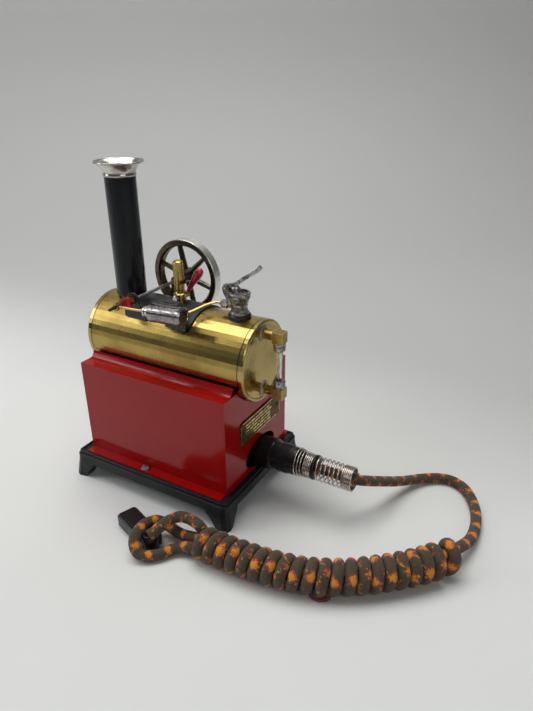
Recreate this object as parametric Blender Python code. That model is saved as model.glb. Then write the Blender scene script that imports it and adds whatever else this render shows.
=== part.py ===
"""Model steam engine with an electric boiler, built as separate parts.

Run with: blender --background --python part.py

Sizes are in millimetres and to_metres() scales the finished parts. The engine's
long side runs along X with the water gauge at +X, the cylinder side faces -Y,
and Z is up with the feet on z = 0. Sizes along X are measured from the middle
of the base; FRAME_X then moves everything, so that the middle of the whole
engine, from the feet to the gauge, stands at x = 0.
"""

import math

import bmesh
import bpy
from mathutils import Vector

MM = 0.001
FRAME_X = -6.0

# Cast base
BASE_HALF_X, BASE_HALF_Y = 60.5, 46.5
RIM_TOP = 19.0
TRAY_FLOOR = 18.2
PLATE_BOTTOM = 15.0
SKIRT_BOTTOM = 10.5
FOOT_SPLAY = 2.0

# Firebox of folded sheet
SHEET = 0.9
FIREBOX_X = (-54.0, 55.6)
FIREBOX_HALF_Y = 37.0
FLANGE_HALF_Y = 43.4
LEDGE_Z = 82.5
COVE_RADIUS = 5.2
SIDE_SCREW_X, SIDE_SCREW_Y = -5.0, 40.4

# Boiler
BOILER_RADIUS = 25.4
BOILER_AXIS_Z = 95.2
BOILER_X = (-57.0, 61.0)
BOILER_SEAM = 3.2
BOILER_TOP = BOILER_AXIS_Z + BOILER_RADIUS

# Mains inlet and connector, on one axis along X
INLET_Y, INLET_Z = 3.0, 28.6
INLET_PIN_SPACING = 9.0
CONNECTOR_X = (57.6, 68.0, 84.8)
SPRING_X = (85.2, 120.8)
SPRING_RADIUS = 7.6
OPENING_HALF_Y, OPENING_HALF_Z = 18.2, 9.8

# Nameplate
PLATE_HALF_Y, PLATE_Z = 24.2, (44.6, 60.0)
PLATE_Y = 3.4
RIVET_Y = 21.6

# Chimney
CHIMNEY_X, CHIMNEY_RADIUS = -38.0, 9.5
CHIMNEY_BOTTOM, COLLAR_BOTTOM, CHIMNEY_TOP = 121.6, 195.0, 204.0
CAP_RADIUS = 15.0

# Engine on the boiler top
SHAFT_X, SHAFT_Z, SHAFT_RADIUS = -21.0, 125.2, 1.1
CRANK_THROW, CRANK_ANGLE = 4.5, math.radians(206.4)
CRANK_PIN_X = SHAFT_X + CRANK_THROW * math.cos(CRANK_ANGLE)
CRANK_PIN_Z = SHAFT_Z + CRANK_THROW * math.sin(CRANK_ANGLE)
FRAME_SPAN_X = (-28.0, 20.0)
FRAME_GAP, FRAME_SHEET = 0.2, 1.0
NEAR_UPRIGHT_Y, FAR_UPRIGHT_Y, UPRIGHT_SHEET = 19.0, 24.0, 1.2
FLYWHEEL_Y = (33.5, 40.5)
FLYWHEEL_RADIUS, FLYWHEEL_RIM = 25.5, 4.6
CRANK_WEB_Y = (-24.4, -22.6)
PIVOT_X, PIVOT_Z = 11.0, 125.2
CYLINDER_Y, CYLINDER_RADIUS = -28.2, 5.75
CYLINDER_ENDS = (-9.6, 14.2)
BORE_RADIUS = 4.3
ROD_RADIUS = 0.95
CYLINDER_TILT = math.atan2(PIVOT_Z - CRANK_PIN_Z, PIVOT_X - CRANK_PIN_X)
PIN_DISTANCE = math.hypot(PIVOT_Z - CRANK_PIN_Z, PIVOT_X - CRANK_PIN_X)

# Fittings on the boiler top
WHISTLE_X = 1.0
WHISTLE_BODY_Z, WHISTLE_TOP = 130.2, 148.6
WHISTLE_PLUG_Z, HANDLE_Y, HANDLE_ANGLE = 125.2, 6.4, math.radians(55)
VALVE_X = 44.3
VALVE_NUT_Z, VALVE_TOP = 122.8, 135.8
FULCRUM_X, FULCRUM_Z = 35.8, 137.0

# Water gauge
GAUGE_X = 71.1
GAUGE_Z = (76.5, 112.8)
GAUGE_BLOCK = 3.4
GLASS_RADIUS = 1.6

# Mains cord, resting on the floor: a lead, a wrapped hank, an end loop and a tail
CORD_RADIUS = 3.25
HANK_RADIUS = 9.9
LEAD_ROUTE = [
    (86, 3, 28.6), (98, 3, 28.6), (110, 3, 28.6), (119, 3.4, 28.4), (124.4, 7.4, 26.4),
    (128.6, 15, 22.4), (132.6, 25, 17), (136.8, 35.5, 11.4), (142, 46, 7), (148.2, 55.6, 4.4),
    (155.4, 62.2, 3.4), (163.4, 65.6, 3.3), (171.4, 64.8, 3.3), (178.4, 59.6, 3.3),
    (184, 51, 3.3), (188, 41, 3.3), (190.2, 31, 3.3), (190.8, 21, 3.8), (190, 11, 5.6),
    (187.6, 2, 8), (185.6, -3.6, 9.4),
]
HANK_ROUTE = [
    (183.6, -10, 9.9), (176.7, -20.3, 9.9), (165.9, -32, 9.9), (154.9, -41.9, 9.9),
    (144.1, -50.3, 9.9), (132.8, -57.1, 9.9), (120.2, -62.6, 9.9), (106.4, -65.9, 9.9),
    (92, -67.9, 9.9), (74, -68.9, 9.9), (57, -69, 9.9),
]
LOOP_ROUTE = [
    (55.6, -66.4, 8.6), (48.6, -66.2, 7), (41.2, -66.1, 6), (34.2, -66, 7.6), (28.7, -66.9, 10),
    (25.2, -69.4, 11.4), (22.6, -75.4, 11.8), (23.2, -82.6, 11.9), (25.4, -88, 9), (29.4, -89.6, 5),
    (34.5, -87.8, 3.6), (39.7, -82.6, 3.3), (44, -76.4, 3.6), (49.4, -73, 5.2), (55.4, -72.6, 7),
]
TAIL_ROUTE = [
    (54.2, -64, 15.8), (49.9, -62.8, 15.8), (44.5, -62.3, 16), (39.7, -64.1, 16.4),
    (36.8, -69.5, 16.6), (34.8, -75, 15.4), (33, -78.4, 13.6), (31.2, -80, 11.9),
]
PLUG_CENTRE, PLUG_SIZE, PLUG_ANGLE = (16.0, -73.0), (33.0, 13.0, 8.0), math.radians(-20)

COLOURS = {
    "cast_black": ((0.012, 0.013, 0.015), 0.45, 0.0),
    "red_enamel": ((0.33, 0.006, 0.008), 0.22, 0.0),
    "polished_brass": ((0.70, 0.49, 0.17), 0.25, 1.0),
    "dull_brass": ((0.42, 0.32, 0.16), 0.45, 1.0),
    "chimney_black": ((0.01, 0.01, 0.011), 0.2, 0.0),
    "nickel": ((0.55, 0.50, 0.46), 0.32, 1.0),
    "engine_black": ((0.02, 0.02, 0.022), 0.4, 0.0),
    "steel": ((0.45, 0.44, 0.42), 0.35, 1.0),
    "wheel_iron": ((0.045, 0.038, 0.028), 0.4, 1.0),
    "pewter": ((0.24, 0.23, 0.22), 0.4, 1.0),
    "crank_red": ((0.42, 0.01, 0.01), 0.3, 0.0),
    "handle_red": ((0.45, 0.005, 0.03), 0.2, 0.0),
    "gauge_glass": ((0.8, 0.85, 0.85), 0.05, 0.0),
    "ceramic": ((0.75, 0.72, 0.66), 0.6, 0.0),
    "bakelite": ((0.01, 0.01, 0.01), 0.3, 0.0),
    "cord_braid": ((0.09, 0.07, 0.04), 0.9, 0.0),
    "tie_red": ((0.18, 0.01, 0.02), 0.6, 0.0),
}


# Helpers


def clear_scene():
    """Start from an empty file."""
    for item in list(bpy.data.objects):
        bpy.data.objects.remove(item, do_unlink=True)


def material_for(slot):
    """One Principled material per slot, made the first time it is asked for."""
    if slot in bpy.data.materials:
        return bpy.data.materials[slot]
    colour, roughness, metallic = COLOURS[slot]
    material = bpy.data.materials.new(slot)
    material.use_nodes = True
    shader = material.node_tree.nodes["Principled BSDF"]
    shader.inputs["Base Color"].default_value = (*colour, 1.0)
    shader.inputs["Roughness"].default_value = roughness
    shader.inputs["Metallic"].default_value = metallic
    return material


def add_part(name, slot, mesh_builder):
    """Turn a bmesh into a named object, still in millimetres."""
    bmesh.ops.recalc_face_normals(mesh_builder, faces=mesh_builder.faces)
    mesh = bpy.data.meshes.new(name)
    mesh_builder.to_mesh(mesh)
    mesh_builder.free()
    mesh.materials.append(material_for(slot))
    part = bpy.data.objects.new(name, mesh)
    bpy.context.scene.collection.objects.link(part)
    return part


def to_metres():
    """Move the finished parts to the frame's middle and scale them to metres."""
    for part in bpy.data.objects:
        for vertex in part.data.vertices:
            vertex.co = (vertex.co + Vector((FRAME_X, 0, 0))) * MM


def combine(part, tool, operation):
    """Join a tool solid to a part, or cut it out, and remove the tool."""
    modifier = part.modifiers.new("Boolean", "BOOLEAN")
    modifier.object = tool
    modifier.operation = operation
    modifier.solver = "MANIFOLD"
    bpy.context.view_layer.update()
    evaluated = part.evaluated_get(bpy.context.evaluated_depsgraph_get())
    mesh = bpy.data.meshes.new_from_object(evaluated)
    part.modifiers.clear()
    part.data = mesh
    bpy.data.objects.remove(tool, do_unlink=True)


def cut(part, *tools):
    for tool in tools:
        combine(part, tool, "DIFFERENCE")


def join(part, *tools):
    for tool in tools:
        combine(part, tool, "UNION")


def axis_frame(axis):
    """Two directions across an axis, and the axis itself."""
    along = Vector(axis).normalized()
    side = Vector((0, 1, 0)) if abs(along.y) < 0.9 else Vector((0, 0, 1))
    across = (side - along * side.dot(along)).normalized()
    return across, along.cross(across), along


def skin(builder, rings, closed):
    """Faces between rings of vertices; a ring of one vertex is a point on the axis."""
    pairs = list(zip(rings, rings[1:]))
    if closed:
        pairs.append((rings[-1], rings[0]))
    for first, second in pairs:
        count = max(len(first), len(second))
        if count == 1:
            continue
        for i in range(count):
            j = (i + 1) % count
            corners = [first[i % len(first)], first[j % len(first)],
                       second[j % len(second)], second[i % len(second)]]
            builder.faces.new(list(dict.fromkeys(corners)))


def lathe(name, slot, profile, centre, axis, segments=32):
    """Revolve (radius, height) points about an axis through centre."""
    builder = bmesh.new()
    across, up, along = axis_frame(axis)
    rings = []
    for radius, height in profile:
        middle = Vector(centre) + along * height
        if radius == 0:
            rings.append([builder.verts.new(middle)])
            continue
        angles = [2 * math.pi * i / segments for i in range(segments)]
        rings.append([builder.verts.new(middle + (across * math.cos(a) + up * math.sin(a)) * radius)
                      for a in angles])
    solid_core = len(rings[0]) == 1 and len(rings[-1]) == 1
    skin(builder, rings, closed=not solid_core)
    return add_part(name, slot, builder)


def rod(name, slot, radius, start, end, segments=24, chamfer=0.0):
    """A plain round bar between two points, its ends chamfered."""
    length = (Vector(end) - Vector(start)).length
    profile = [(0, 0), (radius - chamfer, 0), (radius, chamfer),
               (radius, length - chamfer), (radius - chamfer, length), (0, length)]
    if chamfer == 0:
        profile = [(0, 0), (radius, 0), (radius, length), (0, length)]
    return lathe(name, slot, profile, start, Vector(end) - Vector(start), segments)


def loft(name, slot, rings):
    """A solid through matching rings of points, closed with a face at each end."""
    builder = bmesh.new()
    made = [[builder.verts.new(point) for point in ring] for ring in rings]
    skin(builder, made, closed=False)
    builder.faces.new(made[0])
    builder.faces.new(list(reversed(made[-1])))
    return add_part(name, slot, builder)


def prism(name, slot, outline, axis, low, high):
    """An outline in the plane across X, Y or Z, extruded from low to high."""
    def place(point, height):
        u, v = point
        return {"X": (height, u, v), "Y": (u, height, v), "Z": (u, v, height)}[axis]
    return loft(name, slot, [[place(p, h) for p in outline] for h in (low, high)])


def block(name, slot, low, high):
    outline = [(low[0], low[1]), (high[0], low[1]), (high[0], high[1]), (low[0], high[1])]
    return prism(name, slot, outline, "Z", low[2], high[2])


def arc(centre, radius, start, end, steps):
    """Points along an arc, angles in degrees."""
    angles = [math.radians(start + (end - start) * i / steps) for i in range(steps + 1)]
    return [(centre[0] + radius * math.cos(a), centre[1] + radius * math.sin(a)) for a in angles]


def rounded_rectangle(half_x, half_y, radius, steps=4):
    corners = [(1, 1, 0), (-1, 1, 90), (-1, -1, 180), (1, -1, 270)]
    outline = []
    for sign_x, sign_y, start in corners:
        centre = (sign_x * (half_x - radius), sign_y * (half_y - radius))
        outline += arc(centre, radius, start, start + 90, steps)
    return outline


def folded_sheet(path, thickness):
    """Outline of a sheet whose outer face follows path; its thickness is on the left."""
    inner = []
    for i, point in enumerate(path):
        before = Vector(path[max(i - 1, 0)])
        after = Vector(path[min(i + 1, len(path) - 1)])
        here = Vector(point)
        into = (here - before).normalized() if i else (after - here).normalized()
        out = (after - here).normalized() if i < len(path) - 1 else into
        normal = Vector((-into.y, into.x)) + Vector((-out.y, out.x))
        normal.normalize()
        reach = thickness / max(normal.dot(Vector((-into.y, into.x))), 0.3)
        inner.append(tuple(here + normal * reach))
    return list(path) + inner[::-1]


def smooth_route(points, steps):
    """Catmull-Rom points through a route."""
    spots = [Vector(p) for p in points]
    padded = [spots[0] * 2 - spots[1], *spots, spots[-1] * 2 - spots[-2]]
    route = []
    for p0, p1, p2, p3 in zip(padded, padded[1:], padded[2:], padded[3:]):
        for i in range(steps):
            t = i / steps
            route.append(0.5 * (2 * p1 + (p2 - p0) * t + (2 * p0 - 5 * p1 + 4 * p2 - p3) * t ** 2
                                + (3 * p1 - p0 - 3 * p2 + p3) * t ** 3))
    return route + [spots[-1]]


def tube(name, slot, route, radius, sides=12):
    """A round solid along a route of points, its ring kept from twisting."""
    builder = bmesh.new()
    spots = [Vector(p) for p in route]
    across = axis_frame(spots[1] - spots[0])[0]
    rings = []
    for i, spot in enumerate(spots):
        along = (spots[min(i + 1, len(spots) - 1)] - spots[max(i - 1, 0)]).normalized()
        across = (across - along * across.dot(along)).normalized()
        up = along.cross(across)
        angles = [2 * math.pi * k / sides for k in range(sides)]
        rings.append([builder.verts.new(spot + (across * math.cos(a) + up * math.sin(a)) * radius)
                      for a in angles])
    skin(builder, rings, closed=False)
    builder.faces.new(rings[0])
    builder.faces.new(list(reversed(rings[-1])))
    return add_part(name, slot, builder)


# Base and firebox


def build_base():
    """Cast tray on four splayed feet, hollow underneath, notched for the connector."""
    levels = [
        (3.0, PLATE_BOTTOM), (3.0, SKIRT_BOTTOM), (0.4, SKIRT_BOTTOM), (0.0, SKIRT_BOTTOM + 0.5),
        (0.0, RIM_TOP - 2.6), (0.5, RIM_TOP - 2.1), (1.1, RIM_TOP - 2.0), (1.1, RIM_TOP - 0.4),
        (1.5, RIM_TOP), (2.6, RIM_TOP), (2.9, TRAY_FLOOR),
    ]
    rings = []
    for inset, z in levels:
        outline = rounded_rectangle(BASE_HALF_X - inset, BASE_HALF_Y - inset, max(3.5 - inset, 1.2))
        rings.append([(x, y, z) for x, y in outline])
    base = loft("base_casting", "cast_black", rings)
    foot_levels = [(15.0, 18.0, 15.0, 0.1), (9.0, 14.0, 12.2, 0.0), (5.0, 11.2, 9.8, 0.4),
                   (0.0, 9.0, 8.2, 1.0)]
    for sign_x in (-1, 1):
        for sign_y in (-1, 1):
            rings = []
            for z, long, wide, corner in foot_levels:
                splay = FOOT_SPLAY * (1 - z / 15.0) - 0.05
                outer_x, outer_y = BASE_HALF_X + splay, BASE_HALF_Y + splay
                outline = [(outer_x - long, outer_y - wide), (outer_x - corner, outer_y - wide),
                           (outer_x - corner / 2, outer_y - wide + 2), (outer_x, outer_y - 4.0),
                           (outer_x - 1.2, outer_y - 1.2), (outer_x - 4.0, outer_y),
                           (outer_x - long, outer_y - corner)]
                rings.append([(sign_x * x, sign_y * y, z) for x, y in outline])
            join(base, loft("foot", "cast_black", rings))
    notch = rod("notch", "cast_black", 11.0, (50, INLET_Y, INLET_Z), (70, INLET_Y, INLET_Z), 40)
    cut(base, notch)
    for sign in (-1, 1):
        hole = (SIDE_SCREW_X, sign * SIDE_SCREW_Y)
        cut(base, rod("hole", "cast_black", 1.55, (*hole, 10), (*hole, 20), 16))


def side_panel_path():
    """Flange, wall, flat shoulder and concave cove up to the boiler's flank."""
    cove_y = BOILER_RADIUS + 0.3
    centre = (-(cove_y + COVE_RADIUS), LEDGE_Z + COVE_RADIUS)
    cove = arc(centre, COVE_RADIUS, -90, -8, 5)
    return [(-FLANGE_HALF_Y, TRAY_FLOOR + 0.05 + SHEET), (-FIREBOX_HALF_Y, TRAY_FLOOR + 0.05 + SHEET),
            (-FIREBOX_HALF_Y, LEDGE_Z), *cove]


def build_side_panels():
    """Two long panels of folded sheet, each screwed down through its flange."""
    low, high = FIREBOX_X[0] + SHEET + 0.1, FIREBOX_X[1] - SHEET - 0.1
    for sign, side in ((-1, "near"), (1, "far")):
        outline = [(y * -sign, z) for y, z in folded_sheet(side_panel_path(), -SHEET)]
        panel = prism(f"side_panel_{side}", "red_enamel", outline, "X", low, high)
        at = (SIDE_SCREW_X, sign * SIDE_SCREW_Y)
        cut(panel, rod("hole", "steel", 1.7, (*at, 17), (*at, 21), 16))
        shank_top = TRAY_FLOOR + SHEET + 0.15
        profile = [(0, 12.0), (1.4, 12.0), (1.4, shank_top), (2.9, shank_top),
                   (2.9, shank_top + 0.9), (2.0, shank_top + 1.7), (0, shank_top + 1.9)]
        screw = lathe(f"side_screw_{side}", "steel", profile, (*at, 0), (0, 0, 1), 20)
        slot = block("slot", "steel", (at[0] - 4, at[1] - 0.35, shank_top + 1.2),
                     (at[0] + 4, at[1] + 0.35, shank_top + 3))
        cut(screw, slot)


def end_panel_outline():
    """End wall: square shoulders and a round seat that clears the boiler."""
    seat = BOILER_RADIUS + 0.3
    drop = BOILER_AXIS_Z - LEDGE_Z
    angle = math.degrees(math.acos(drop / seat))
    seat_arc = arc((0, BOILER_AXIS_Z), seat, -90 - angle, -90 + angle, 24)
    bottom = TRAY_FLOOR + 0.05
    half = FIREBOX_HALF_Y
    return [(-half, bottom), (-half, LEDGE_Z), *seat_arc, (half, LEDGE_Z), (half, bottom)]


def build_end_panels():
    """Plain end under the chimney; the gauge end has the oval inlet opening."""
    outline = end_panel_outline()
    prism("chimney_end_panel", "red_enamel", outline, "X", FIREBOX_X[0], FIREBOX_X[0] + SHEET)
    panel = prism("gauge_end_panel", "red_enamel", outline, "X", FIREBOX_X[1] - SHEET, FIREBOX_X[1])
    oval = [(PLATE_Y + OPENING_HALF_Y * math.cos(a), INLET_Z + OPENING_HALF_Z * math.sin(a))
            for a in (2 * math.pi * i / 36 for i in range(36))]
    cut(panel, prism("oval", "red_enamel", oval, "X", FIREBOX_X[1] - 3, FIREBOX_X[1] + 2))
    rivet_z = sum(PLATE_Z) / 2
    for sign in (-1, 1):
        at = (PLATE_Y + sign * RIVET_Y, rivet_z)
        cut(panel, rod("hole", "steel", 0.95, (FIREBOX_X[1] - 3, *at), (FIREBOX_X[1] + 2, *at), 12))


def build_nameplate():
    """Thin brass plate with clipped corners, a raised border and two rivets."""
    low, high = PLATE_Z
    clip = 4.0
    left, right = PLATE_Y - PLATE_HALF_Y, PLATE_Y + PLATE_HALF_Y
    outline = [(left, low), (right - clip / 3, low), (right, low + clip / 3), (right, high - clip),
               (right - clip, high), (left + clip / 3, high), (left, high - clip / 3)]
    face = FIREBOX_X[1] + 0.05
    plate = prism("nameplate", "dull_brass", outline, "X", face, face + 0.7)
    for sign, side in ((-1, "near"), (1, "far")):
        at = (PLATE_Y + sign * RIVET_Y, (low + high) / 2)
        cut(plate, rod("hole", "steel", 0.95, (face - 1, *at), (face + 2, *at), 12))
        profile = [(0, -2.2), (0.85, -2.2), (0.85, 0.8), (1.5, 0.8), (1.35, 1.2), (0.8, 1.5), (0, 1.6)]
        lathe(f"nameplate_rivet_{side}", "dull_brass", profile, (face, *at), (1, 0, 0), 16)


# Boiler, heater and chimney


def build_boiler():
    """Open barrel, closed by a dished end cap at each end."""
    low, high = BOILER_X[0] + BOILER_SEAM, BOILER_X[1] - BOILER_SEAM
    outer, inner = BOILER_RADIUS, BOILER_RADIUS - 0.8
    profile = [(outer, 0.1), (outer, high - low - 0.1), (inner, high - low - 0.1), (inner, 0.1)]
    lathe("boiler_barrel", "polished_brass", profile, (low, 0, BOILER_AXIS_Z), (1, 0, 0), 48)
    spigot = inner - 0.1
    for name, x, direction in (("boiler_end_gauge", high, 1), ("boiler_end_chimney", low, -1)):
        cap = [(0, BOILER_SEAM - 1.5), (spigot - 1.6, BOILER_SEAM - 1.5), (spigot - 0.8, BOILER_SEAM - 2.2),
               (spigot - 0.8, -3.0), (spigot, -3.0), (spigot, 0), (outer, 0), (outer, BOILER_SEAM - 0.9),
               (outer - 0.5, BOILER_SEAM - 0.2), (outer - 1.2, BOILER_SEAM), (outer - 2.0, BOILER_SEAM - 0.2),
               (outer - 2.6, BOILER_SEAM - 0.6), (0, BOILER_SEAM - 0.6)]
        end = lathe(name, "dull_brass", cap, (x, 0, BOILER_AXIS_Z), (direction, 0, 0), 48)
        if direction > 0:
            for z in GAUGE_Z:
                cut(end, rod("hole", "dull_brass", 2.1, (x - 5, 0, z), (x + 8, 0, z), 20))


def build_heater():
    """Ceramic element under the boiler, and the inlet block with its two pins."""
    element = rod("heating_element", "ceramic", 9.0, (-34, 0, 57), (34, 0, 57), 32, 1.0)
    for x in (-26, 20):
        join(element, block("leg", "ceramic", (x, -5, TRAY_FLOOR + 0.1), (x + 6, 5, 52)))
    inlet = rod("inlet_block", "ceramic", 9.2, (34, INLET_Y, INLET_Z), (47, INLET_Y, INLET_Z), 32, 0.8)
    join(inlet, block("foot", "ceramic", (34, INLET_Y - 8, TRAY_FLOOR + 0.1),
                      (47, INLET_Y + 8, INLET_Z - 4)))
    for sign, side in ((-1, "near"), (1, "far")):
        y = INLET_Y + sign * INLET_PIN_SPACING / 2
        cut(inlet, rod("hole", "ceramic", 2.05, (40, y, INLET_Z), (49, y, INLET_Z), 20))
        rod(f"inlet_pin_{side}", "steel", 2.0, (40.2, y, INLET_Z), (64, y, INLET_Z), 20, 0.6)


def build_chimney():
    """Seat shaped to the boiler, plain tube, and a flared cap with a rolled rim."""
    at = (CHIMNEY_X, 0, 0)
    seat_profile = [(6.6, 116), (8.8, 116), (8.8, CHIMNEY_BOTTOM - 1.8), (8.1, CHIMNEY_BOTTOM - 0.1),
                    (6.6, CHIMNEY_BOTTOM - 0.1)]
    seat = lathe("chimney_seat", "chimney_black", seat_profile, at, (0, 0, 1), 40)
    boiler = rod("boiler", "chimney_black", BOILER_RADIUS + 0.15, (-70, 0, BOILER_AXIS_Z),
                 (0, 0, BOILER_AXIS_Z), 96)
    cut(seat, boiler)
    outer, inner = CHIMNEY_RADIUS, CHIMNEY_RADIUS - 0.8
    tube_profile = [(inner, CHIMNEY_BOTTOM), (outer - 0.4, CHIMNEY_BOTTOM), (outer, CHIMNEY_BOTTOM + 0.6),
                    (outer, COLLAR_BOTTOM - 0.1), (inner, COLLAR_BOTTOM - 0.1)]
    lathe("chimney_tube", "chimney_black", tube_profile, at, (0, 0, 1), 36)
    low, high = COLLAR_BOTTOM, CHIMNEY_TOP
    flare = [(9.7, low), (10.0, low + 0.3), (10.0, low + 1.2), (9.75, low + 1.6), (9.9, low + 2.6),
             (10.6, low + 4.4), (11.9, low + 6.2), (13.6, low + 7.6)]
    rim = arc((CAP_RADIUS - 0.6, high - 0.6), 0.6, -60, 180, 5)
    inside = [(13.0, low + 8.1), (11.3, low + 6.9), (9.9, low + 4.9), (9.2, low + 2.8), (8.9, low + 1.2),
              (8.8, low)]
    lathe("chimney_cap", "nickel", flare + rim + inside, at, (0, 0, 1), 36)


# Engine


def tilted(distance, y, height=0.0):
    """A point along the cylinder's axis from its pivot, positive away from the crank."""
    along = Vector((math.cos(CYLINDER_TILT), 0, math.sin(CYLINDER_TILT)))
    up = Vector((-math.sin(CYLINDER_TILT), 0, math.cos(CYLINDER_TILT)))
    return Vector((PIVOT_X, y, PIVOT_Z)) + along * distance + up * height


def build_engine_frame():
    """Curved saddle on the boiler top with two uprights that carry the shaft."""
    inner, outer = BOILER_RADIUS + FRAME_GAP, BOILER_RADIUS + FRAME_GAP + FRAME_SHEET
    centre = (0, BOILER_AXIS_Z)
    near_angle = 90 + math.degrees(math.asin((NEAR_UPRIGHT_Y - 0.6) / outer))
    far_angle = 90 - math.degrees(math.asin((FAR_UPRIGHT_Y - 0.6) / outer))
    outline = arc(centre, outer, far_angle, near_angle, 20) + arc(centre, inner, near_angle, far_angle, 20)
    frame = prism("engine_frame", "engine_black", outline, "X", *FRAME_SPAN_X)
    for sign, reach, top_radius, left, right in ((-1, NEAR_UPRIGHT_Y, 4.6, 7.0, 9.0),
                                                 (1, FAR_UPRIGHT_Y, 2.9, 3.4, 3.4)):
        foot_z = BOILER_AXIS_Z + math.sqrt(inner ** 2 - (reach - UPRIGHT_SHEET) ** 2)
        cheek = [(SHAFT_X - left, foot_z), (SHAFT_X + right, foot_z), (SHAFT_X + right, foot_z + 3),
                 *arc((SHAFT_X, SHAFT_Z), top_radius, -12, 192, 12), (SHAFT_X - left, foot_z + 3)]
        faces = sorted((sign * (reach - UPRIGHT_SHEET), sign * reach))
        join(frame, prism("upright", "engine_black", cheek, "Y", *faces))
        bore = rod("bore", "engine_black", 2.1, (SHAFT_X, sign * (reach - 4), SHAFT_Z),
                   (SHAFT_X, sign * (reach + 4), SHAFT_Z), 24)
        cut(frame, bore)
        hole = SHAFT_RADIUS + 0.05
        bush = [(hole, reach - 2.0), (2.0, reach - 2.0), (2.0, reach + 0.1), (2.7, reach + 0.1),
                (2.7, reach + 0.7), (hole, reach + 0.7)]
        side = "near" if sign < 0 else "far"
        lathe(f"bearing_bush_{side}", "dull_brass", bush, (SHAFT_X, 0, SHAFT_Z), (0, sign, 0), 24)


def build_crank():
    """Shaft, and the crank web with its pin; they turn together with the flywheel."""
    front, back = CRANK_WEB_Y
    start, end = (SHAFT_X, back + 0.05, SHAFT_Z), (SHAFT_X, FLYWHEEL_Y[1] + 1.4, SHAFT_Z)
    rod("crankshaft", "steel", SHAFT_RADIUS, start, end, 24, 0.3)
    turn = math.degrees(CRANK_ANGLE)
    web = (arc((SHAFT_X, SHAFT_Z), 3.4, turn + 97, turn + 263, 14)
           + arc((CRANK_PIN_X, CRANK_PIN_Z), 2.9, turn - 83, turn + 83, 12))
    crank = prism("crank_web", "crank_red", web, "Y", front, back)
    pin_at = (CRANK_PIN_X, CRANK_PIN_Z)
    cut(crank, rod("hole", "steel", 1.05, (pin_at[0], front - 1, pin_at[1]), (pin_at[0], front + 1, pin_at[1]), 16))
    rod("crank_pin", "steel", 1.0, (pin_at[0], front - 1.55, pin_at[1]),
        (pin_at[0], front + 0.95, pin_at[1]), 16, 0.2)


def build_flywheel():
    """Rim, six tapered spokes and a hub with a running bore for the shaft."""
    low, high = FLYWHEEL_Y
    depth = high - low
    inner = FLYWHEEL_RADIUS - FLYWHEEL_RIM
    rim = [(FLYWHEEL_RADIUS - 0.5, 0), (FLYWHEEL_RADIUS, 0.5), (FLYWHEEL_RADIUS, depth - 0.5),
           (FLYWHEEL_RADIUS - 0.5, depth), (inner + 1.2, depth), (inner, depth - 1.4), (inner, 1.4),
           (inner + 1.2, 0)]
    centre = (SHAFT_X, low, SHAFT_Z)
    wheel = lathe("flywheel", "wheel_iron", rim, centre, (0, 1, 0), 48)
    hub = [(0, -4.5), (4.0, -4.5), (4.6, -3.9), (4.9, depth + 0.4), (4.3, depth + 1.0), (0, depth + 1.0)]
    join(wheel, lathe("hub", "wheel_iron", hub, centre, (0, 1, 0), 30))
    for i in range(6):
        angle = math.radians(43 + 60 * i)
        out = Vector((math.cos(angle), 0, math.sin(angle)))
        side = Vector((-math.sin(angle), 0, math.cos(angle)))
        rings = []
        for reach, wide, thick in ((3.0, 2.0, 2.4), (inner + 1.0, 1.5, 1.9)):
            middle = Vector((SHAFT_X, low + depth / 2, SHAFT_Z)) + out * reach
            ring = [middle + side * (wide * math.cos(a)) + Vector((0, thick * math.sin(a), 0))
                    for a in (2 * math.pi * k / 8 for k in range(8))]
            rings.append(ring)
        join(wheel, loft("spoke", "wheel_iron", rings))
    cut(wheel, rod("bore", "wheel_iron", SHAFT_RADIUS + 0.04, (SHAFT_X, low - 6, SHAFT_Z),
                   (SHAFT_X, high + 3, SHAFT_Z), 24))


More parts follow.
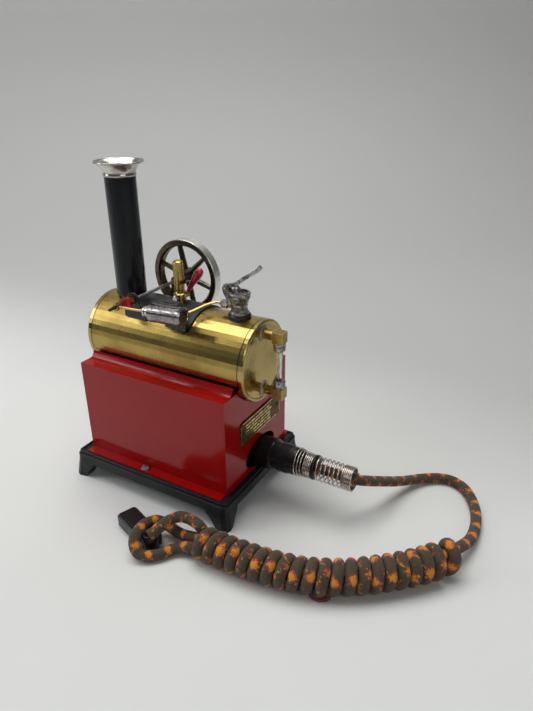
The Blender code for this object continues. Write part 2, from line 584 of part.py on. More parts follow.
def build_cylinder():
    """Oscillating cylinder on its pivot, with the gland the piston rod runs through."""
    axis = tilted(1, 0) - tilted(0, 0)
    low, high = CYLINDER_ENDS
    body = [(0, low + 2), (BORE_RADIUS, low + 2), (BORE_RADIUS, high - 2.2), (0, high - 2.2)]
    outer = CYLINDER_RADIUS
    shell = [(0, high - 0.3), (outer - 2.2, high - 0.3), (outer - 1.9, high), (outer - 1.0, high),
             (outer, high - 1.0), (outer, high - 4.0), (outer - 0.3, high - 4.3), (outer - 0.3, low + 4.4),
             (outer, low + 4.1), (outer, low + 1.0), (outer - 1.2, low), (0, low)]
    cylinder = lathe("cylinder", "nickel", shell, tilted(0, CYLINDER_Y), axis, 32)
    face_y = CYLINDER_Y + outer + 0.3
    port = [tilted(u, 0, v) for u, v in ((-6, -4.6), (6, -4.6), (6, 4.6), (-6, 4.6))]
    join(cylinder, loft("port", "nickel", [[Vector((p.x, y, p.z)) for p in port]
                                           for y in (CYLINDER_Y + 4.6, face_y)]))
    bore = lathe("bore", "nickel", body, tilted(0, CYLINDER_Y), axis, 32)
    rod_hole = rod("rod_hole", "nickel", 2.6, tilted(low - 2, CYLINDER_Y), tilted(low + 4, CYLINDER_Y), 24)
    pivot_hole = rod("pivot_hole", "nickel", 1.25, (PIVOT_X, face_y - 1.2, PIVOT_Z),
                     (PIVOT_X, face_y + 1, PIVOT_Z), 16)
    cut(cylinder, bore, rod_hole, pivot_hole)
    bore_edge = ROD_RADIUS + 0.06
    gland = [(bore_edge, low - 4.6), (3.0, low - 4.6), (3.6, low - 4.1), (3.6, low - 3.1), (3.1, low - 2.8),
             (3.1, low - 1.4), (3.9, low - 1.1), (3.9, low - 0.1), (2.5, low - 0.1), (2.5, low + 1.9),
             (bore_edge, low + 1.9)]
    lathe("cylinder_gland", "nickel", gland, tilted(0, CYLINDER_Y), axis, 24)
    rod("pivot_pin", "steel", 1.2, (PIVOT_X, face_y - 1.0, PIVOT_Z), (PIVOT_X, -11.6, PIVOT_Z), 16, 0.2)
    coil = []
    for i in range(5 * 8 + 1):
        turn = 2 * math.pi * i / 8
        coil.append((PIVOT_X + 2.1 * math.cos(turn), -17.2 + 2.6 * i / 40, PIVOT_Z + 2.1 * math.sin(turn)))
    tube("pivot_spring", "steel", coil, 0.22, 5)
    nut = [(PIVOT_X + 2.6 * math.cos(a), PIVOT_Z + 2.6 * math.sin(a))
           for a in (math.pi * i / 3 for i in range(6))]
    pivot_nut = prism("pivot_nut", "dull_brass", nut, "Y", -14.0, -12.2)
    cut(pivot_nut, rod("hole", "steel", 1.25, (PIVOT_X, -16, PIVOT_Z), (PIVOT_X, -10, PIVOT_Z), 16))


def build_piston():
    """Piston, its rod, and the big end with the nut that stands for the pin's end."""
    axis = tilted(1, 0) - tilted(0, 0)
    start, end = -PIN_DISTANCE + 0.8, CYLINDER_ENDS[0] + 6.4
    piston = [(0, start), (ROD_RADIUS, start), (ROD_RADIUS, end - 3.6), (BORE_RADIUS - 0.06, end - 3.6),
              (BORE_RADIUS - 0.06, end), (0, end)]
    lathe("piston_rod", "polished_brass", piston, tilted(0, CYLINDER_Y), axis, 24)
    big_end = [(0, -1.9), (1.9, -1.9), (2.3, -1.5), (2.3, 1.7), (1.9, 2.1), (0, 2.1)]
    at = (CRANK_PIN_X, CYLINDER_Y, CRANK_PIN_Z)
    end_block = lathe("big_end", "polished_brass", big_end, at, (0, 1, 0), 24)
    cut(end_block, rod("hole", "steel", ROD_RADIUS + 0.02, tilted(start - 0.2, CYLINDER_Y),
                       tilted(start + 4, CYLINDER_Y), 20))
    nut = [(0, 0.1), (1.2, 0.1), (1.2, 1.2), (0.9, 1.4), (0.9, 4.9), (0.6, 5.3), (0, 5.4)]
    lathe("big_end_nut", "engine_black", nut, (at[0], CYLINDER_Y - 1.9, at[2]), (0, -1, 0), 12)


def build_port_block():
    """Upright block with the flat steam face that the cylinder rocks on."""
    front, back = CYLINDER_Y + CYLINDER_RADIUS + 0.36, -NEAR_UPRIGHT_Y + 0.9
    base_z = BOILER_AXIS_Z + 15.0
    column = [(PIVOT_X - 7, base_z), (PIVOT_X + 8, base_z), (PIVOT_X + 8, PIVOT_Z - 1), (PIVOT_X - 7, PIVOT_Z - 1)]
    port = prism("port_block", "engine_black", column, "Y", back - 1.9, back)
    pad = [(PIVOT_X - 7, PIVOT_Z - 5), (PIVOT_X + 8, PIVOT_Z - 5), (PIVOT_X + 8, PIVOT_Z + 2),
           (PIVOT_X + 5, PIVOT_Z + 5), (PIVOT_X - 5, PIVOT_Z + 5), (PIVOT_X - 7, PIVOT_Z + 3)]
    join(port, prism("pad", "engine_black", pad, "Y", front, back))
    saddle = rod("saddle", "engine_black", BOILER_RADIUS + FRAME_GAP + FRAME_SHEET + 0.1,
                 (-30, 0, BOILER_AXIS_Z), (40, 0, BOILER_AXIS_Z), 96)
    pivot_hole = rod("hole", "steel", 1.26, (PIVOT_X, -24, PIVOT_Z), (PIVOT_X, -16, PIVOT_Z), 20)
    pipe_hole = rod("hole", "steel", 0.78, (PIVOT_X + 6, -20, PIVOT_Z - 2.4),
                    (PIVOT_X + 6, -16, PIVOT_Z - 2.4), 16)
    cut(port, saddle, pivot_hole, pipe_hole)


# Steam pipe and fittings on the boiler top


def build_steam_pipe():
    start = (PIVOT_X + 6, -19.6, PIVOT_Z - 2.4)
    route = smooth_route([start, (PIVOT_X + 6.2, -17, PIVOT_Z - 2.4), (20, -12.6, 123.8),
                          (24.4, -6, 126), (28, -1.2, 126.7), (31, 0, 126.6), (36.4, 0, 126.6)], 4)
    tube("steam_pipe", "polished_brass", route, 0.7, 8)
    nut = [(0.85, 0), (2.3, 0), (2.8, 0.6), (2.8, 4.4), (2.2, 5.0), (0.85, 5.0)]
    lathe("pipe_union_nut", "pewter", nut, (32.0, 0, 126.6), (1, 0, 0), 6)


def build_whistle():
    """Plug valve on the saddle with its domed whistle tube; the red handle turns the plug."""
    seat = BOILER_TOP + FRAME_GAP + FRAME_SHEET + 0.1
    at = (WHISTLE_X, 0, 0)
    profile = [(0, seat), (3.5, seat), (3.5, seat + 0.8), (4.0, seat + 1.2), (4.0, 127.6), (3.1, 128.2),
               (2.7, 128.8), (3.2, 129.4), (3.2, WHISTLE_BODY_Z - 0.1), (0, WHISTLE_BODY_Z - 0.1)]
    body = lathe("whistle_body", "polished_brass", profile, at, (0, 0, 1), 28)
    plug_z = WHISTLE_PLUG_Z
    cut(body, rod("hole", "steel", 1.55, (WHISTLE_X, -6, plug_z), (WHISTLE_X, 6, plug_z), 24))
    screw = [(0, -3.0), (0.9, -3.0), (0.9, 0.2), (2.2, 0.2), (2.2, 0.9), (1.6, 1.4), (0, 1.4)]
    lathe("whistle_screw", "steel", screw, (WHISTLE_X, -4.0, plug_z), (0, -1, 0), 20)
    top = WHISTLE_TOP
    dome = [(3.2 * math.cos(math.radians(a)), top - 1.6 + 1.6 * math.sin(math.radians(a)))
            for a in (0, 25, 50, 72)]
    tube_profile = [(0, WHISTLE_BODY_Z), (2.9, WHISTLE_BODY_Z), (3.2, WHISTLE_BODY_Z + 0.4), *dome, (0, top)]
    whistle = lathe("whistle_tube", "polished_brass", tube_profile, at, (0, 0, 1), 28)
    cut(whistle, block("mouth", "steel", (WHISTLE_X + 1.2, -2.4, 134), (WHISTLE_X + 5, 2.4, 136.4)))
    plug = [(0, -3.9), (1.5, -3.9), (1.5, 4.3), (2.1, 4.3), (2.1, 7.4), (1.7, 7.8), (0, 7.8)]
    valve = lathe("whistle_plug", "dull_brass", plug, (WHISTLE_X, 0, plug_z), (0, 1, 0), 24)
    cut(valve, rod("hole", "steel", 0.95, (WHISTLE_X, -5, plug_z), (WHISTLE_X, -0.8, plug_z), 12))
    centre = Vector((WHISTLE_X, HANDLE_Y, plug_z))
    out = Vector((math.cos(HANDLE_ANGLE), 0, math.sin(HANDLE_ANGLE)))
    join(valve, rod("stem", "dull_brass", 0.7, centre, centre + out * 6.0, 12))
    handle = [(0.76, 3.2), (1.2, 3.2), (1.5, 5.2), (1.8, 9.0), (2.3, 13.0), (2.7, 16.6), (2.75, 18.6),
              (2.3, 20.4), (1.3, 21.5), (0, 21.9), (0, 6.2), (0.76, 6.2)]
    lathe("whistle_handle", "handle_red", handle, centre, out, 20)


def build_safety_valve():
    """Round base ring, flared body, and the long lever pinned at its fulcrum."""
    at = (VALVE_X, 0, 0)
    ring = [(0, BOILER_TOP - 2.0), (6.4, BOILER_TOP - 2.0), (6.9, BOILER_TOP - 1.2), (6.9, VALVE_NUT_Z - 0.9),
            (6.2, VALVE_NUT_Z), (0, VALVE_NUT_Z)]
    base = lathe("valve_base_nut", "engine_black", ring, at, (0, 0, 1), 32)
    boiler = rod("boiler", "engine_black", BOILER_RADIUS + 0.1, (20, 0, BOILER_AXIS_Z),
                 (60, 0, BOILER_AXIS_Z), 96)
    cut(base, boiler)
    seat = VALVE_NUT_Z + 0.05
    profile = [(0, seat), (5.8, seat), (5.8, seat + 0.8), (5.0, seat + 1.7), (4.7, seat + 3.6), (5.0, seat + 6.0),
               (6.0, seat + 8.6), (6.8, seat + 10.4), (6.8, VALVE_TOP - 0.6), (6.3, VALVE_TOP),
               (5.5, VALVE_TOP), (5.2, VALVE_TOP - 2.0), (0, VALVE_TOP - 2.0)]
    body = lathe("valve_body", "pewter", profile, at, (0, 0, 1), 36)
    join(body, rod("union", "pewter", 1.9, (37.3, 0, 126.6), (VALVE_X, 0, 126.6), 16))
    ear = [(FULCRUM_X - 1.8, FULCRUM_Z), (FULCRUM_X - 1.4, FULCRUM_Z - 2.4), (VALVE_X - 6.4, VALVE_TOP - 7.5),
           (VALVE_X - 4.5, VALVE_TOP - 7.5), (VALVE_X - 4.5, VALVE_TOP - 0.8), (FULCRUM_X + 2.6, VALVE_TOP - 0.4),
           *arc((FULCRUM_X, FULCRUM_Z), 1.8, 0, 150, 5)]
    for sign in (-1, 1):
        faces = sorted((sign * 1.15, sign * 2.3))
        join(body, prism("ear", "pewter", ear, "Y", *faces))
    pin_ends = ((FULCRUM_X, -2.9, FULCRUM_Z), (FULCRUM_X, 2.9, FULCRUM_Z))
    cut(body, rod("hole", "steel", 0.86, (FULCRUM_X, -4, FULCRUM_Z), (FULCRUM_X, 4, FULCRUM_Z), 14))
    rod("fulcrum_pin", "steel", 0.8, *pin_ends, 14, 0.2)
    route = [(FULCRUM_X - 1.2, FULCRUM_Z - 0.4), (42.2, 138.6), (48.3, 143.2), (58.0, 149.7), (59.7, 152.1)]
    bar = folded_sheet(route, 2.3)
    lever = prism("valve_lever", "pewter", bar, "Y", -0.95, 0.95)
    boss = rod("boss", "pewter", 1.7, (FULCRUM_X, -0.95, FULCRUM_Z), (FULCRUM_X, 0.95, FULCRUM_Z), 18)
    knob = lathe("knob", "pewter", [(0, 0), (1.2, 0), (1.2, 1.4), (2.0, 2.2), (2.0, 3.4), (1.2, 4.4), (0, 4.6)],
                 (42.4, 0, 139.9), (0.25, 0, -0.97), 18)
    join(lever, boss, knob)
    cut(lever, rod("hole", "steel", 0.86, (FULCRUM_X, -2, FULCRUM_Z), (FULCRUM_X, 2, FULCRUM_Z), 14))


def build_water_gauge():
    """Two brass fittings on the boiler end, each with a gland nut, and the glass."""
    disc_x = BOILER_X[1] - 0.6
    for z, side, toward in ((GAUGE_Z[0], "lower", 1), (GAUGE_Z[1], "upper", -1)):
        stem = [(0, -3.0), (2.0, -3.0), (2.0, 0.1), (4.1, 0.1), (4.1, 0.9), (3.4, 1.4), (2.9, 1.6), (2.9, 8.0),
                (0, 8.0)]
        fitting = lathe(f"gauge_fitting_{side}", "dull_brass", stem, (disc_x, 0, z), (1, 0, 0), 24)
        size = GAUGE_BLOCK
        cube = block("cube", "dull_brass", (GAUGE_X - size, -size, z - size), (GAUGE_X + size, size, z + size))
        socket = rod("socket", "dull_brass", GLASS_RADIUS + 0.06, (GAUGE_X, 0, z + toward * 0.6),
                     (GAUGE_X, 0, z + toward * 6), 20)
        join(fitting, cube)
        cut(fitting, socket)
        bore = GLASS_RADIUS + 0.06
        nut = [(bore, 0), (3.4, 0), (3.7, 0.4), (3.7, 4.6), (3.2, 5.2), (bore, 5.2)]
        lathe(f"gland_nut_{side}", "pewter", nut, (GAUGE_X, 0, z + toward * (size + 0.05)),
              (0, 0, toward), 16)
    low, high = GAUGE_Z[0] + 0.8, GAUGE_Z[1] - 0.8
    length = high - low
    glass = [(0.9, 0), (GLASS_RADIUS, 0), (GLASS_RADIUS, length), (0.9, length)]
    lathe("gauge_glass", "gauge_glass", glass, (GAUGE_X, 0, low), (0, 0, 1), 20)


# Connector, cord and plug


def build_connector():
    """Bakelite connector on the inlet pins, with its wound strain-relief spring."""
    front, step, back = CONNECTOR_X
    profile = [(0, front - 8), (8.4, front - 8), (8.6, front - 7.6), (8.6, front), (10.3, front + 0.2),
               (10.3, step - 1.4), (9.9, step - 0.4), (9.1, step), (8.9, back - 3.0), (8.4, back - 0.6),
               (7.6, back), (0, back)]
    body = lathe("connector_body", "bakelite", profile, (0, INLET_Y, INLET_Z), (1, 0, 0), 32)
    for sign in (-1, 1):
        y = INLET_Y + sign * INLET_PIN_SPACING / 2
        cut(body, rod("hole", "bakelite", 2.4, (front - 10, y, INLET_Z), (66, y, INLET_Z), 20))
    low, high = SPRING_X
    wire = 0.8
    turns, steps = 14, 12
    coil = []
    for i in range(turns * steps + 1):
        share = i / (turns * steps)
        turn = 2 * math.pi * i / steps
        radius = SPRING_RADIUS - wire
        coil.append((low + wire + (high - low - 2 * wire) * share, INLET_Y + radius * math.cos(turn),
                     INLET_Z + radius * math.sin(turn)))
    tube("strain_relief_spring", "nickel", coil, wire, 5)


def build_cord():
    """Braided mains cord: the hank stands in for its wraps as one solid."""
    tube("cord_lead", "cord_braid", smooth_route(LEAD_ROUTE, 2), CORD_RADIUS, 12)
    tube("cord_hank", "cord_braid", smooth_route(HANK_ROUTE, 2), HANK_RADIUS, 20)
    tube("cord_loop", "cord_braid", smooth_route(LOOP_ROUTE, 2), CORD_RADIUS, 12)
    tube("cord_tail", "cord_braid", smooth_route(TAIL_ROUTE, 2), CORD_RADIUS, 12)


def build_plug():
    """Flat black plug lying under the end loop, and the small red tie."""
    long, wide, tall = PLUG_SIZE
    turn = Vector((math.cos(PLUG_ANGLE), math.sin(PLUG_ANGLE)))
    rings = []
    for inset, z in ((1.0, 0.1), (0.0, 1.1), (0.0, tall - 1.0), (1.0, tall)):
        ring = []
        for x, y in rounded_rectangle(long / 2 - inset, wide / 2 - inset, 2.4 - inset):
            ring.append((PLUG_CENTRE[0] + x * turn.x - y * turn.y, PLUG_CENTRE[1] + x * turn.y + y * turn.x, z))
        rings.append(ring)
    loft("cord_plug", "bakelite", rings)
    rod("cord_tie", "tie_red", 1.5, (128.8, -70, 1.6), (136, -66.2, 1.6), 10, 0.4)


def build():
    clear_scene()
    build_base()
    build_side_panels()
    build_end_panels()
    build_nameplate()
    build_boiler()
    build_heater()
    build_chimney()
    build_engine_frame()
    build_crank()
    build_flywheel()
    build_cylinder()
    build_piston()
    build_port_block()
    build_steam_pipe()
    build_whistle()
    build_safety_valve()
    build_water_gauge()
    build_connector()
    build_cord()
    build_plug()
    to_metres()


build()
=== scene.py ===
"""Looks of the model steam engine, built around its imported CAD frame.

Route points and sizes are in the engine's millimetres, measured from the middle
of the base as in the part's source; place() turns them into the row frame.
"""

import math

import bpy
from mathutils import Matrix, Vector

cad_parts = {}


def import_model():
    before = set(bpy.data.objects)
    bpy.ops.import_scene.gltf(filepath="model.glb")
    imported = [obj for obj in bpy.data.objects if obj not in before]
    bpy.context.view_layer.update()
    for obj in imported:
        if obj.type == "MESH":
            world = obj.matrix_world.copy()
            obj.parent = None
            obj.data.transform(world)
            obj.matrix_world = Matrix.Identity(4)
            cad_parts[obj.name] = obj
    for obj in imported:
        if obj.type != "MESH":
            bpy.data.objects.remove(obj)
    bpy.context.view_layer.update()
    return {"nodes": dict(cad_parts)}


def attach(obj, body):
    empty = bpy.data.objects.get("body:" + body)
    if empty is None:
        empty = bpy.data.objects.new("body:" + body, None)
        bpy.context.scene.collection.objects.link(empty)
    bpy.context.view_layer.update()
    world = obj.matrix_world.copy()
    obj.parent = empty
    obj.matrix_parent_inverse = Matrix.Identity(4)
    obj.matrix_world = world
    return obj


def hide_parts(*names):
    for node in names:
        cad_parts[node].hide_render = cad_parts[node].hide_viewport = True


MM = 0.001
FRAME_X = -6.0

# Camera
CAMERA_AT = (0.2106, -0.2715, 0.2481)
CAMERA_AZIMUTH, CAMERA_ELEVATION, CAMERA_ROLL = 29.6, 25.5, -0.2
CAMERA_LENS = 29.62

# Mains cord
CORD_RADIUS = 3.25
WRAP_RADIUS = 6.65
WRAP_PITCH = 6.9
WRAP_STEPS = 24
AXIS_STEP = 0.5
CORE_OFFSET = 1.5
BRAID_PITCH = 11.0
BRAID_STRANDS = 14.0
ORANGE_REACH, MAGENTA_REACH, PATCH_BLUR = 0.165, 0.225, 0.015
LAST_TURN = 0.25
LEAD_ROUTE = [
    (86, 3, 28.6), (98, 3, 28.6), (110, 3, 28.6), (119, 3.4, 28.4), (124.4, 7.4, 26.4),
    (128.6, 15, 22.4), (132.6, 25, 17), (136.8, 35.5, 11.4), (142, 46, 7), (148.2, 55.6, 4.4),
    (155.4, 62.2, 3.4), (163.4, 65.6, 3.3), (171.4, 64.8, 3.3), (178.4, 59.6, 3.3),
    (184, 51, 3.3), (188, 41, 3.3), (190.2, 31, 3.3), (190.8, 21, 3.8), (190, 11, 5.6),
    (187.6, 2, 8), (185.6, -3.6, 9.4),
]
HANK_ROUTE = [
    (183.6, -10, 9.9), (176.7, -20.3, 9.9), (165.9, -32, 9.9), (154.9, -41.9, 9.9),
    (144.1, -50.3, 9.9), (132.8, -57.1, 9.9), (120.2, -62.6, 9.9), (106.4, -65.9, 9.9),
    (92, -67.9, 9.9), (74, -68.9, 9.9), (57, -69, 9.9),
]
LOOP_ROUTE = [
    (55.6, -66.4, 8.6), (48.6, -66.2, 7), (41.2, -66.1, 6), (34.2, -66, 7.6), (28.7, -66.9, 10),
    (25.2, -69.4, 11.4), (22.6, -75.4, 11.8), (23.2, -82.6, 11.9), (25.4, -88, 9), (29.4, -89.6, 5),
    (34.5, -87.8, 3.6), (39.7, -82.6, 3.3), (44, -76.4, 3.6), (49.4, -73, 5.2), (55.4, -72.6, 7),
]
TAIL_ROUTE = [
    (54.2, -64, 15.8), (49.9, -62.8, 15.8), (44.5, -62.3, 16), (39.7, -64.1, 16.4),
    (36.8, -69.5, 16.6), (34.8, -75, 15.4), (33, -78.4, 13.6), (31.2, -80, 11.9),
]
PLUG_AT, PLUG_TOP, PLUG_ANGLE = (16.0, -73.0), 8.0, math.radians(-20)
CORD_ENTRY = (29.6, -79.2, 0)

# Strain-relief spring, on the connector's axis
INLET_Y, INLET_Z = 3.0, 28.6
SPRING_WIRE = 0.55

# Nameplate
PLATE_FACE_X, PLATE_Y, PLATE_HALF_Y, PLATE_Z = 56.35, 3.4, 24.2, (44.6, 60.0)

# Heights of the two gauge fittings, and the chimney's middle line
GAUGE_Z = (76.5, 112.8)
CHIMNEY_X = -38

# Places that materials need, in the row frame
BOILER_SEAMS = (-0.0598, 0.0518)
SHAFT_AT = (-0.027, 0.0, 0.1252)
FLYWHEEL_RADIUS = 0.0255


def place(x, y, z):
    """A point given in the engine's millimetres, in the row frame."""
    return Vector(((x + FRAME_X) * MM, y * MM, z * MM))


# Node materials


class Material:
    """A node material under construction, with short ways to add common nodes."""

    def __init__(self, name, colour=(0.5, 0.5, 0.5), roughness=0.5, metallic=0.0, **more):
        self.data = bpy.data.materials.new(name)
        self.data.use_nodes = True
        self.tree = self.data.node_tree
        self.shader = self.tree.nodes["Principled BSDF"]
        self.shader.inputs["Base Color"].default_value = (*colour, 1)
        self.shader.inputs["Roughness"].default_value = roughness
        self.shader.inputs["Metallic"].default_value = metallic
        for socket, value in more.items():
            self.shader.inputs[socket.replace("_", " ")].default_value = value
        self.place = self.node("ShaderNodeTexCoord").outputs["Object"]

    def node(self, kind, inputs=None, **settings):
        made = self.tree.nodes.new(kind)
        for name, value in settings.items():
            setattr(made, name, value)
        for name, value in (inputs or {}).items():
            if isinstance(value, bpy.types.NodeSocket):
                self.tree.links.new(value, made.inputs[name])
            else:
                made.inputs[name].default_value = value
        return made

    def math(self, operation, a, b=0.0, c=0.0):
        inputs = {0: a, 1: b, 2: c}
        return self.node("ShaderNodeMath", inputs, operation=operation).outputs[0]

    def noise(self, scale, detail=3.0, stretch=(1, 1, 1), rough=0.55, shift=(0, 0, 0)):
        """Soft noise from 0 to 1; scale counts blobs in a metre."""
        at = self.node("ShaderNodeMapping", {"Vector": self.place, "Scale": stretch, "Location": shift})
        inputs = {"Vector": at.outputs[0], "Scale": scale, "Detail": detail, "Roughness": rough}
        return self.node("ShaderNodeTexNoise", inputs).outputs["Fac"]

    def steps(self, value, low, high, invert=False):
        """value turned into a smooth mask, 0 below low and 1 above high."""
        ends = (1.0, 0.0) if invert else (0.0, 1.0)
        inputs = {"Value": value, "From Min": low, "From Max": high, "To Min": ends[0], "To Max": ends[1]}
        return self.node("ShaderNodeMapRange", inputs, interpolation_type="SMOOTHSTEP").outputs[0]

    def mix(self, mask, a, b):
        """Colour a where mask is 0 and b where it is 1."""
        made = self.node("ShaderNodeMix", data_type="RGBA")
        for index, value in ((0, mask), (6, a), (7, b)):
            if isinstance(value, bpy.types.NodeSocket):
                self.tree.links.new(value, made.inputs[index])
            elif index == 0:
                made.inputs[0].default_value = value
            else:
                made.inputs[index].default_value = (*value, 1)
        return made.outputs[2]

    def near(self, axis, at, reach):
        """A mask of 1 within reach of the plane axis = at."""
        part = self.node("ShaderNodeSeparateXYZ", {0: self.place}).outputs[axis]
        away = self.math("ABSOLUTE", self.math("SUBTRACT", part, at))
        return self.steps(away, reach * 0.6, reach, invert=True)

    def colour(self, socket):
        self.tree.links.new(socket, self.shader.inputs["Base Color"])

    def roughness(self, value, low, high):
        """Roughness from low to high as value goes from 0 to 1."""
        made = self.node("ShaderNodeMapRange", {"Value": value, "To Min": low, "To Max": high})
        self.tree.links.new(made.outputs[0], self.shader.inputs["Roughness"])

    def metal(self, value):
        self.tree.links.new(value, self.shader.inputs["Metallic"])

    def bump(self, *layers):
        """Relief from (height socket, depth in metres) layers."""
        normal = None
        for height, depth in layers:
            made = self.node("ShaderNodeBump", {"Height": height, "Distance": depth, "Strength": 1.0})
            if normal is not None:
                self.tree.links.new(normal, made.inputs["Normal"])
            normal = made.outputs[0]
        self.tree.links.new(normal, self.shader.inputs["Normal"])

    def worn_edges(self, reach=0.0005):
        """A mask of convex edges, from the angle between the bevelled and the flat normal."""
        made = self.node("ShaderNodeBevel", {"Radius": reach}, samples=6)
        flat = self.node("ShaderNodeNewGeometry").outputs["Normal"]
        dot = self.node("ShaderNodeVectorMath", {0: made.outputs[0], 1: flat}, operation="DOT_PRODUCT")
        return self.steps(dot.outputs["Value"], 0.90, 0.985, invert=True)


def cast_black():
    """Satin stove paint on a sand casting."""
    m = Material("cast_black", roughness=0.4, Specular_IOR_Level=0.24)
    cloud = m.noise(40, 4)
    grain = m.noise(1900, 3)
    dust = m.steps(m.noise(160, 6, rough=0.7), 0.62, 0.8)
    base = m.mix(cloud, (0.006, 0.0075, 0.009), (0.014, 0.017, 0.019))
    m.colour(m.mix(m.math("MULTIPLY", dust, 0.2), base, (0.055, 0.055, 0.052)))
    m.roughness(m.noise(90, 4), 0.3, 0.5)
    m.bump((grain, 0.00005), (m.noise(300, 2), 0.0001))
    return m


def red_enamel():
    """Deep gloss enamel with the faint waviness of sheet metal under it."""
    m = Material("red_enamel", roughness=0.12, Coat_Weight=0.08, Coat_Roughness=0.04, Specular_IOR_Level=0.28)
    cloud = m.noise(14, 3)
    marks = m.steps(m.noise(420, 5, rough=0.75), 0.74, 0.82)
    base = m.mix(cloud, (0.30, 0.003, 0.004), (0.36, 0.005, 0.005))
    m.colour(m.mix(m.math("MULTIPLY", marks, 0.5), base, (0.16, 0.004, 0.006)))
    m.roughness(m.noise(120, 5), 0.08, 0.22)
    m.bump((m.noise(22, 1), 0.0006), (m.noise(700, 2), 0.000008))
    return m


def polished_brass():
    """Bright brass: drawing lines along X, tarnish clouds, and a grey line at each solder seam."""
    m = Material("polished_brass", roughness=0.2, metallic=1.0)
    lines = m.noise(2600, 2, stretch=(0.03, 1, 1))
    cloud = m.steps(m.noise(34, 5), 0.38, 0.72)
    specks = m.steps(m.noise(520, 4, rough=0.7), 0.70, 0.78)
    base = m.mix(cloud, (0.46, 0.335, 0.10), (0.33, 0.23, 0.065))
    base = m.mix(m.math("MULTIPLY", specks, 0.35), base, (0.20, 0.12, 0.05))
    seam = m.math("MAXIMUM", *[m.near("X", x, 0.0008) for x in BOILER_SEAMS])
    m.colour(m.mix(seam, base, (0.055, 0.048, 0.042)))
    m.roughness(m.math("ADD", m.math("MULTIPLY", lines, 0.3), m.math("MULTIPLY", cloud, 0.7)), 0.2, 0.36)
    m.bump((m.noise(26, 2, shift=(0.3, 0, 0)), 0.0003), (lines, 0.000006), (specks, 0.00002))
    return m


def dull_brass():
    """Aged brass with brown toning and small pits."""
    m = Material("dull_brass", roughness=0.35, metallic=1.0)
    cloud = m.steps(m.noise(90, 6, rough=0.65), 0.35, 0.68)
    pits = m.steps(m.noise(900, 4, rough=0.7), 0.66, 0.76)
    base = m.mix(cloud, (0.46, 0.32, 0.105), (0.25, 0.16, 0.055))
    base = m.mix(m.worn_edges(), base, (0.80, 0.62, 0.26))
    m.colour(m.mix(m.math("MULTIPLY", pits, 0.7), base, (0.09, 0.06, 0.03)))
    m.roughness(cloud, 0.22, 0.42)
    m.bump((pits, 0.00003), (m.noise(60, 2), 0.0003))
    return m


def boiler_end_brass():
    """The boiler's end plates: cleaner brass with soft wiping marks."""
    m = Material("boiler_end_brass", roughness=0.25, metallic=1.0)
    cloud = m.steps(m.noise(55, 5), 0.4, 0.7)
    stains = m.steps(m.noise(210, 5, rough=0.7), 0.64, 0.78)
    base = m.mix(cloud, (0.48, 0.36, 0.125), (0.36, 0.26, 0.085))
    m.colour(m.mix(m.math("MULTIPLY", stains, 0.6), base, (0.26, 0.17, 0.07)))
    m.roughness(cloud, 0.16, 0.32)
    m.bump((m.noise(45, 2), 0.0006), (m.noise(1400, 2, stretch=(1, 0.2, 1)), 0.000008))
    return m


def copper():
    """Drawn copper rod with brown toning."""
    m = Material("copper", roughness=0.28, metallic=1.0)
    cloud = m.steps(m.noise(300, 5), 0.4, 0.7)
    m.colour(m.mix(cloud, (0.72, 0.40, 0.22), (0.34, 0.17, 0.09)))
    m.roughness(cloud, 0.2, 0.4)
    return m


def chimney_black():
    """Gloss black tube with small rust specks."""
    m = Material("chimney_black", roughness=0.18, Coat_Weight=0.05, Coat_Roughness=0.08,
                 Specular_IOR_Level=0.22)
    specks = m.steps(m.noise(330, 6, stretch=(1, 1, 0.6), rough=0.72), 0.685, 0.73)
    cloud = m.noise(60, 4)
    base = m.mix(cloud, (0.005, 0.006, 0.008), (0.012, 0.014, 0.016))
    m.colour(m.mix(specks, base, (0.16, 0.045, 0.015)))
    m.roughness(m.math("MAXIMUM", specks, m.math("MULTIPLY", cloud, 0.35)), 0.1, 0.6)
    m.bump((specks, 0.00006), (m.noise(40, 2), 0.0005))
    return m


def nickel(name="nickel", brown=0.5, bright=(0.62, 0.60, 0.56), grey=(0.34, 0.315, 0.30)):
    """Worn nickel plating, blotched grey and brown where the metal shows."""
    m = Material(name, roughness=0.25, metallic=1.0)
    cloud = m.steps(m.noise(120, 6, rough=0.68), 0.4, 0.66)
    stain = m.steps(m.noise(75, 6, rough=0.7, shift=(0.2, 0.1, 0)), 0.56, 0.68)
    pits = m.steps(m.noise(800, 4, rough=0.72), 0.64, 0.75)
    base = m.mix(cloud, bright, grey)
    base = m.mix(m.math("MULTIPLY", stain, brown), base, (0.13, 0.085, 0.055))
    m.colour(m.mix(m.math("MULTIPLY", pits, 0.8), base, (0.07, 0.06, 0.055)))
    m.roughness(m.math("ADD", m.math("MULTIPLY", cloud, 0.6), m.math("MULTIPLY", stain, 0.4)), 0.14, 0.48)
    m.bump((pits, 0.00005), (cloud, 0.00003))
    return m


def spring_wire():
    """Bright plated wire with brown toning."""
    m = Material("spring_wire", roughness=0.25, metallic=1.0)
    cloud = m.steps(m.noise(260, 4), 0.45, 0.7)
    m.colour(m.mix(cloud, (0.62, 0.57, 0.53), (0.30, 0.23, 0.19)))
    m.roughness(cloud, 0.18, 0.36)
    return m


def engine_black():
    """Black finish rubbed back to steel on its edges."""
    m = Material("engine_black", roughness=0.4, metallic=0.0)
    edge = m.math("MULTIPLY", m.worn_edges(), m.steps(m.noise(300, 4), 0.42, 0.6))
    scuffs = m.math("MULTIPLY", m.steps(m.noise(240, 6, rough=0.7), 0.6, 0.7), 0.6)
    worn = m.math("MAXIMUM", edge, scuffs)
    m.colour(m.mix(worn, (0.012, 0.013, 0.014), (0.20, 0.19, 0.18)))
    m.metal(worn)
    m.roughness(m.noise(200, 4), 0.28, 0.5)
    m.bump((m.noise(1300, 3), 0.00002))
    return m


